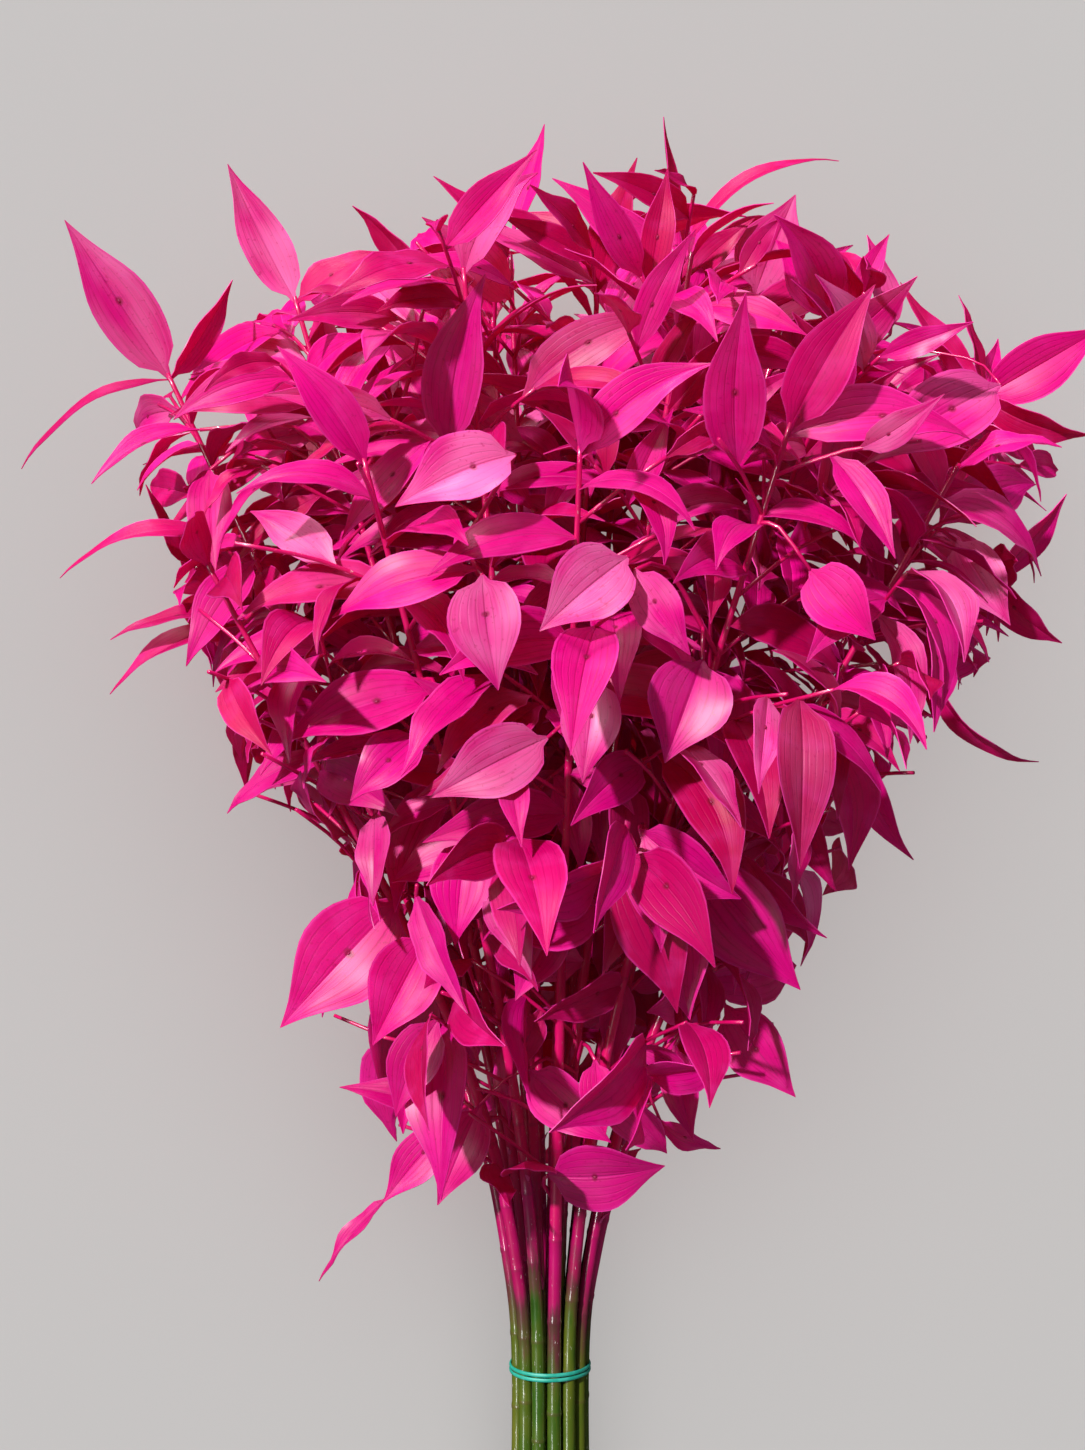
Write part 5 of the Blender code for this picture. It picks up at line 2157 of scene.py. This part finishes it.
@dataclass(frozen=True)
class Grain:
    """A noise over a whole surface: its stretch, its scale, and how fine and rough it is."""

    stretch: tuple[float, float, float]
    scale: float
    detail: float = 2.0
    rough: float = 0.5


@dataclass(frozen=True)
class LeafGrain:
    """A noise over a leaf: its scale across and along, its change from leaf to leaf, and how fine it is."""

    across: float
    along: float
    spread: float
    shift: float = 0.0
    detail: float = 2.0
    rough: float = 0.5


EVEN = (1, 1, 1)


@dataclass(frozen=True)
class DyedLeaf:
    """Waxy dyed leaf: pink to crimson, fine lengthwise veins, a light midrib, pale under-dyed places and a
    painted sheen.
    """

    pink: Colour = (0.84, 0.002, 0.305)
    crimson: Colour = (0.52, 0.0005, 0.085)
    deep: Colour = (0.40, 0.0005, 0.100)
    light: Colour = (0.97, 0.07, 0.56)
    # The pale wash is partly under-dyed leaf and partly a painted sheen
    under_dyed_and_sheen: Colour = (1.0, 0.33, 0.70)
    scar: Colour = (0.20, 0.010, 0.020)
    glow: Colour = (0.88, 0.001, 0.075)
    translucency: float = 0.33
    roughness: float = 0.29
    specular: float = 0.16
    coat_roughness: float = 0.4
    relief: Relief = (0.7, 0.18 * MM)
    vein_pairs: float = 9
    strands: LeafGrain = LeafGrain(46, 3.2, 90, rough=0.6)
    strokes: LeafGrain = LeafGrain(15, 1.6, 71, 3, rough=0.55)
    broad: LeafGrain = LeafGrain(1.5, 1.9, 53, 7)
    gloss: LeafGrain = LeafGrain(3.4, 1.7, 37, 11, detail=1.0)
    flecks: Grain = Grain(EVEN, 620.0, detail=1.0)
    mottle: Grain = Grain(EVEN, 95.0, rough=0.55)

    def material(self) -> bpy.types.Material:
        """Builds the finish.

        Returns:
            The material.
        """
        paint = Paint("dyed leaf")
        u, v = paint.leaf_place()
        tone, crimson, pale, scar = (paint.mark(name) for name in ("tone", "crimson", "pale", "scar"))
        off_middle = abs(u - 0.5)
        strands, strokes, broad, glossed = (
            paint.leaf_grain(u, v, tone, grain)
            for grain in (self.strands, self.strokes, self.broad, self.gloss)
        )
        flecks, mottle = paint.grain(self.flecks), paint.grain(self.mottle)
        veins = (u * self.vein_pairs * math.tau + mottle * 1.6 + tone * 9).sine().step(0.7, 1.0)
        midrib = off_middle.step(0.028, 0.006) * v.step(0.98, 0.6)
        # Pale wash on pale leaves, stronger towards the foot: partly under-dyed places, partly a painted
        # sheen
        wash_and_sheen = (broad * 1.2 + pale * 0.3 - strands * 0.2 - strokes * 0.2 - v * 0.25).step(0.2, 0.75) * pale
        near_scar = (off_middle * 13) ** 2 + ((v - scar) * 30) ** 2
        spot = near_scar.step(1.0, 0.05) * scar.step(0.1, 0.3) * 0.7 + scar.step(1.2, 1.6) * 0.7
        colour = paint.layered(
            self.pink,
            (crimson, self.crimson),
            ((strands + strokes * 0.8).step(0.85, 1.25) * 0.42, self.deep),
            (veins * strands.step(0.3, 0.6) * 0.45, self.deep),
            (mottle.step(0.45, 0.75) * 0.16, self.light),
            # Pale wash: under-dyed places with a painted sheen
            (wash_and_sheen * 0.5, self.under_dyed_and_sheen),
            (midrib * 0.2 * (1 - crimson * 0.6) * strokes.step(0.3, 0.6), self.light),
            # Painted highlight: a thin pale rim along each leaf's edge
            (off_middle.step(0.455, 0.49) * 0.42, self.light),
            (flecks.step(0.66, 0.73) * 0.4, self.deep),
            (spot, self.scar),
        )
        relief = strands * 0.5 - veins * 0.5 + strokes * 0.35 - midrib * 1.2 + mottle * 0.9
        surface = paint.surface(
            {
                # Tone lightens or darkens each leaf at random, and lightens those higher up as painted light
                "Base Color": paint.scaled(colour, tone * 0.36 + 0.78),
                "Roughness": mottle * 0.14 + strands * 0.1 + self.roughness,
                "Specular IOR Level": self.specular,
                "Coat Weight": (glossed.step(0.42, 0.66) * 0.7 + pale * 0.3) * (1 - crimson * 0.9),
                "Coat Roughness": self.coat_roughness,
                "Normal": paint.bump(relief, *self.relief),
            }
        )
        through = paint.node("ShaderNodeBsdfTranslucent", {}, {"Color": (*self.glow, 1)})
        shaders = {0: self.translucency, 1: surface.outputs[0], 2: through.outputs[0]}
        return paint.done(paint.node("ShaderNodeMixShader", {}, shaders))


@dataclass(frozen=True)
class DyedBark:
    """Smooth bark: green at the cut end, through plum to pink where the dye has reached, and lighter far up,
    partly as painted light.
    """

    green: Colour = (0.030, 0.092, 0.007)
    olive: Colour = (0.130, 0.130, 0.008)
    shade: Colour = (0.012, 0.030, 0.004)
    plum: Colour = (0.115, 0.012, 0.035)
    pink: Colour = (0.47, 0.0015, 0.125)
    crimson: Colour = (0.30, 0.0015, 0.050)
    # Lighter pink far up and on the twigs: partly fresher dye, partly painted light against the leaves' shade
    fresh_and_painted_light: Colour = (0.66, 0.002, 0.120)
    speck: Colour = (0.72, 0.62, 0.60)
    coat: float = 0.7
    coat_roughness: float = 0.09
    relief: Relief = (0.3, 0.12 * MM)
    streaks: Grain = Grain((1, 0.07, 0.4), 900.0, 3.0, 0.6)
    patches: Grain = Grain((1, 0.35, 1), 130.0)
    dashes: Grain = Grain((1, 0.22, 0.7), 1500.0, rough=0.6)

    def material(self) -> bpy.types.Material:
        """Builds the finish.

        Returns:
            The material.
        """
        paint = Paint("dyed bark")
        tone, dyed, joint = (paint.mark(name) for name in ("tone", "dyed", "joint"))
        streaks, patches, dashes = (paint.grain(grain) for grain in (self.streaks, self.patches, self.dashes))
        reach = dyed + (streaks - 0.5) * 1.3 + (patches - 0.5) * 1.6
        pink = paint.blend(patches.step(0.35, 0.7) * 0.5 + tone * 0.35, self.pink, self.crimson)
        colour = paint.layered(
            self.green,
            (tone * 0.6 + (patches - 0.5) * 1.2, self.olive),
            (streaks.step(0.5, 0.75) * 0.35, self.olive),
            ((streaks * 0.5 + patches * 0.6).step(0.5, 0.25) * 0.7, self.shade),
            (reach.step(-1.1, 0.2) * 0.85, self.plum),
            (reach.step(-0.1, 0.9), pink),
            # Painted light, with fresher dye: lighter pink far up the stems and on the twigs
            (reach.step(1.6, 3.2) * 0.85, self.fresh_and_painted_light),
            (dashes.step(0.685, 0.74) * patches.step(0.4, 0.6) * 0.85, self.speck),
            (joint.step(0.35, 0.9) * 0.4, self.plum),
        )
        relief = streaks * 0.6 + dashes * 0.3 + patches * 0.8
        surface = paint.surface(
            {
                "Base Color": colour,
                "Roughness": patches * 0.2 + 0.22,
                "Coat Weight": self.coat,
                "Coat Roughness": self.coat_roughness,
                "Normal": paint.bump(relief, *self.relief),
            }
        )
        return paint.done(surface)


@dataclass(frozen=True)
class CutWood:
    """A cut end: a damp green rim, pale wood and a soft pith."""

    rim: Colour = (0.20, 0.21, 0.05)
    wood: Colour = (0.55, 0.46, 0.26)
    pith: Colour = (0.72, 0.66, 0.48)
    roughness: float = 0.75
    relief: Relief = (0.5, 0.15 * MM)
    grain: Grain = Grain(EVEN, 2600.0, 3.0, 0.7)

    def material(self) -> bpy.types.Material:
        """Builds the finish.

        Returns:
            The material.
        """
        paint = Paint("cut wood")
        core, grain = paint.mark("core"), paint.grain(self.grain)
        colour = paint.layered(
            self.rim,
            (core.step(0.0, 0.25), self.wood),
            (core.step(0.55, 0.75), self.pith),
            (grain.step(0.5, 0.8) * 0.5, self.rim),
        )
        normal = paint.bump(grain, *self.relief)
        return paint.done(
            paint.surface({"Base Color": colour, "Roughness": self.roughness, "Normal": normal})
        )


@dataclass(frozen=True)
class TealRubber:
    """Stretched teal rubber, with dusty paler blotches and darker drawn streaks."""

    teal: Colour = (0.010, 0.33, 0.24)
    pale: Colour = (0.06, 0.48, 0.39)
    dark: Colour = (0.005, 0.20, 0.15)
    relief: Relief = (0.4, 0.1 * MM)
    drawn: Grain = Grain((0.25, 1, 0.25), 900.0, 3.0, 0.6)
    blotch: Grain = Grain(EVEN, 240.0)

    def material(self) -> bpy.types.Material:
        """Builds the finish.

        Returns:
            The material.
        """
        paint = Paint("teal rubber")
        drawn, blotch = paint.grain(self.drawn), paint.grain(self.blotch)
        colour = paint.layered(
            self.teal, (blotch.step(0.4, 0.7) * 0.5, self.pale), (drawn.step(0.5, 0.75) * 0.5, self.dark)
        )
        normal = paint.bump(drawn, *self.relief)
        return paint.done(
            paint.surface({"Base Color": colour, "Roughness": blotch * 0.2 + 0.36, "Normal": normal})
        )


@dataclass(frozen=True)
class PaleFloor:
    """A plain pale matt floor."""

    grey: Colour = (0.60, 0.585, 0.575)
    darkening: float = 0.95
    roughness: float = 0.9
    specular: float = 0.2
    cloud: Grain = Grain(EVEN, 3.0)

    def material(self) -> bpy.types.Material:
        """Builds the finish.

        Returns:
            The material.
        """
        paint = Paint("pale floor")
        darker = tuple(c * self.darkening for c in self.grey)
        colour = paint.blend(paint.grain(self.cloud), self.grey, darker)
        return paint.done(
            paint.surface(
                {"Base Color": colour, "Roughness": self.roughness, "Specular IOR Level": self.specular}
            )
        )


@dataclass
class Studio:
    """The floor, the light and the camera, which looks down on the bunch as the photograph's viewer does.

    A lean tells how far aside of the viewer a light stands, and how far up. The sheens are seen only as
    gloss, and each has its lean, its strength and its width.
    """

    offset: Vector
    floor_size: float = 7.0
    lens: float = 50.0
    sensor: float = 36.0
    key_strength: float = 4.6
    key_angle: float = math.radians(2.5)
    key_lean: tuple[float, float] = (math.radians(-26), math.radians(31))
    glow_lean: tuple[float, float] = (math.radians(-20), math.radians(84))
    glow_strength: float = 2.6
    glow_angle: float = math.radians(24)
    floor_strength: float = 2.25
    floor_angle: float = math.radians(80)
    shade: float = 0.12
    lamp_distance: float = 2.0
    room_strength: float = 0.27
    room_colour: Colour = (0.97, 0.985, 1.0)
    sheens: dict[str, tuple[tuple[float, float], float, float]] = field(
        default_factory=lambda: {
            "low sheen": ((math.radians(-34), math.radians(-17)), 0.6, math.radians(11)),
            "high sheen": ((math.radians(-44), math.radians(36)), 1.8, math.radians(34)),
        }
    )

    def lay_floor(self, finish: bpy.types.Material) -> bpy.types.Object:
        """Lays the floor.

        Args:
            finish: Its material.

        Returns:
            The floor.
        """
        shape = bmesh.new()
        bmesh.ops.create_grid(shape, x_segments=1, y_segments=1, size=self.floor_size / 2)
        mesh = bpy.data.meshes.new("floor")
        shape.to_mesh(mesh)
        shape.free()
        mesh.materials.append(finish)
        floor = placed("floor", mesh)
        floor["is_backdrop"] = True
        return floor

    def toward(self, lean: tuple[float, float]) -> Vector:
        """The way to a light that stands aside of the viewer and above, as the bunch lies."""
        aside, up = lean
        return (OUTWARD * math.cos(up) + ALONG * math.sin(up) + RIGHT * math.tan(aside)).normalized()

    def shine(
        self,
        name: str,
        direction: Vector,
        strength: float,
        angle: float,
        lit: Sequence[bpy.types.Object],
        shades: bool = True,
    ) -> bpy.types.Object:
        """Adds a far light.

        Args:
            name: Its name.
            direction: The way from the bunch to the light.
            strength: Its strength.
            angle: How wide it is, in radians.
            lit: What it lights.
            shades: Whether other things may shade what it lights.

        Returns:
            The light.
        """
        light = bpy.data.lights.new(name, "SUN")
        light.energy = strength
        light.angle = angle
        lamp = placed(name, light)
        lamp.rotation_euler = direction.to_track_quat("Z", "Y").to_euler()
        lamp.location = direction * self.lamp_distance
        group = bpy.data.collections.new(f"lit by {name}")
        for piece in lit:
            group.objects.link(piece)
        lamp.light_linking.receiver_collection = group
        if not shades:
            lamp.light_linking.blocker_collection = group
        return lamp

    def light(self, pieces: Sequence[bpy.types.Object], floor: bpy.types.Object) -> None:
        """Lights the bunch and the floor.

        Args:
            pieces: The pieces of the bunch.
            floor: The floor.
        """
        self.shine("key", self.toward(self.key_lean), self.key_strength, self.key_angle, pieces)
        self.shine("crown glow", self.toward(self.glow_lean), self.glow_strength, self.glow_angle, pieces)
        for name, share, shades in (("overhead", 1 - self.shade, False), ("shading", self.shade, True)):
            strength = self.floor_strength * share
            self.shine(name, Vector((0, 0, 1)), strength, self.floor_angle, [floor], shades)
        for name, (lean, strength, angle) in self.sheens.items():
            sheen = self.shine(name, self.toward(lean), strength, angle, pieces)
            sheen.visible_diffuse = False
            sheen.visible_transmission = False
        floor.visible_glossy = False
        world = bpy.data.worlds.new("soft room")
        world.use_nodes = True
        room = world.node_tree.nodes["Background"]
        room.inputs["Color"].default_value = (*self.room_colour, 1)
        room.inputs["Strength"].default_value = self.room_strength
        world.cycles_visibility.glossy = False
        bpy.context.scene.world = world
        bpy.context.scene.view_settings.view_transform = "Standard"

    def set_camera(self) -> None:
        """Sets the camera where the photograph's viewer stood."""
        data = bpy.data.cameras.new("camera")
        data.lens = self.lens
        data.sensor_width = self.sensor
        camera = placed("camera", data)
        aim = BAND_MIDDLE + RIGHT * VIEW_CENTRE[0] + ALONG * VIEW_CENTRE[1] + self.offset
        axes = Matrix((RIGHT, ALONG, OUTWARD)).transposed().to_4x4()
        camera.matrix_world = Matrix.Translation(aim + OUTWARD * VIEW_DISTANCE) @ axes
        bpy.context.scene.camera = camera


def main() -> None:
    """Builds the bunch piece by piece, then the studio round it."""
    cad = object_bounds()
    bunch = Bunch()
    log.info("%d leaves in the solids", len(bunch.blades))
    bunch.fill_out(*cad)
    log.info("%d leaves and %d twigs in all", len(bunch.blades), len(bunch.twigs))
    finishes = [finish.material() for finish in (DyedLeaf(), DyedBark(), CutWood())]
    pieces = []
    for number, stem in enumerate(bunch.stems):
        twigs = [twig for twig in bunch.twigs if twig.stem == number]
        blades = [blade for blade in bunch.blades if blade.stem == number]
        piece = LeafyStem(number, stem, twigs, blades, bunch.offset).build(finishes)
        pieces.append(piece)
        log.info("%s: %d leaves, %d faces", piece.name, len(blades), len(piece.data.polygons))
    pieces.append(RubberBand(bunch.offset).build(TealRubber().material()))
    log.info("%s: a band of two turns", pieces[-1].name)
    studio = Studio(bunch.offset)
    floor = studio.lay_floor(PaleFloor().material())
    studio.light(pieces, floor)
    studio.set_camera()
    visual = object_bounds()
    for name, before, after in zip("xyz", zip(*cad), zip(*visual)):
        ends = (x / MM for x in (*before, *after))
        log.info("%s: solids %.1f to %.1f mm, visual %.1f to %.1f mm", name, *ends)


if __name__ == "__main__":
    logging.basicConfig(level=logging.INFO, format="%(message)s")
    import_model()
    main()
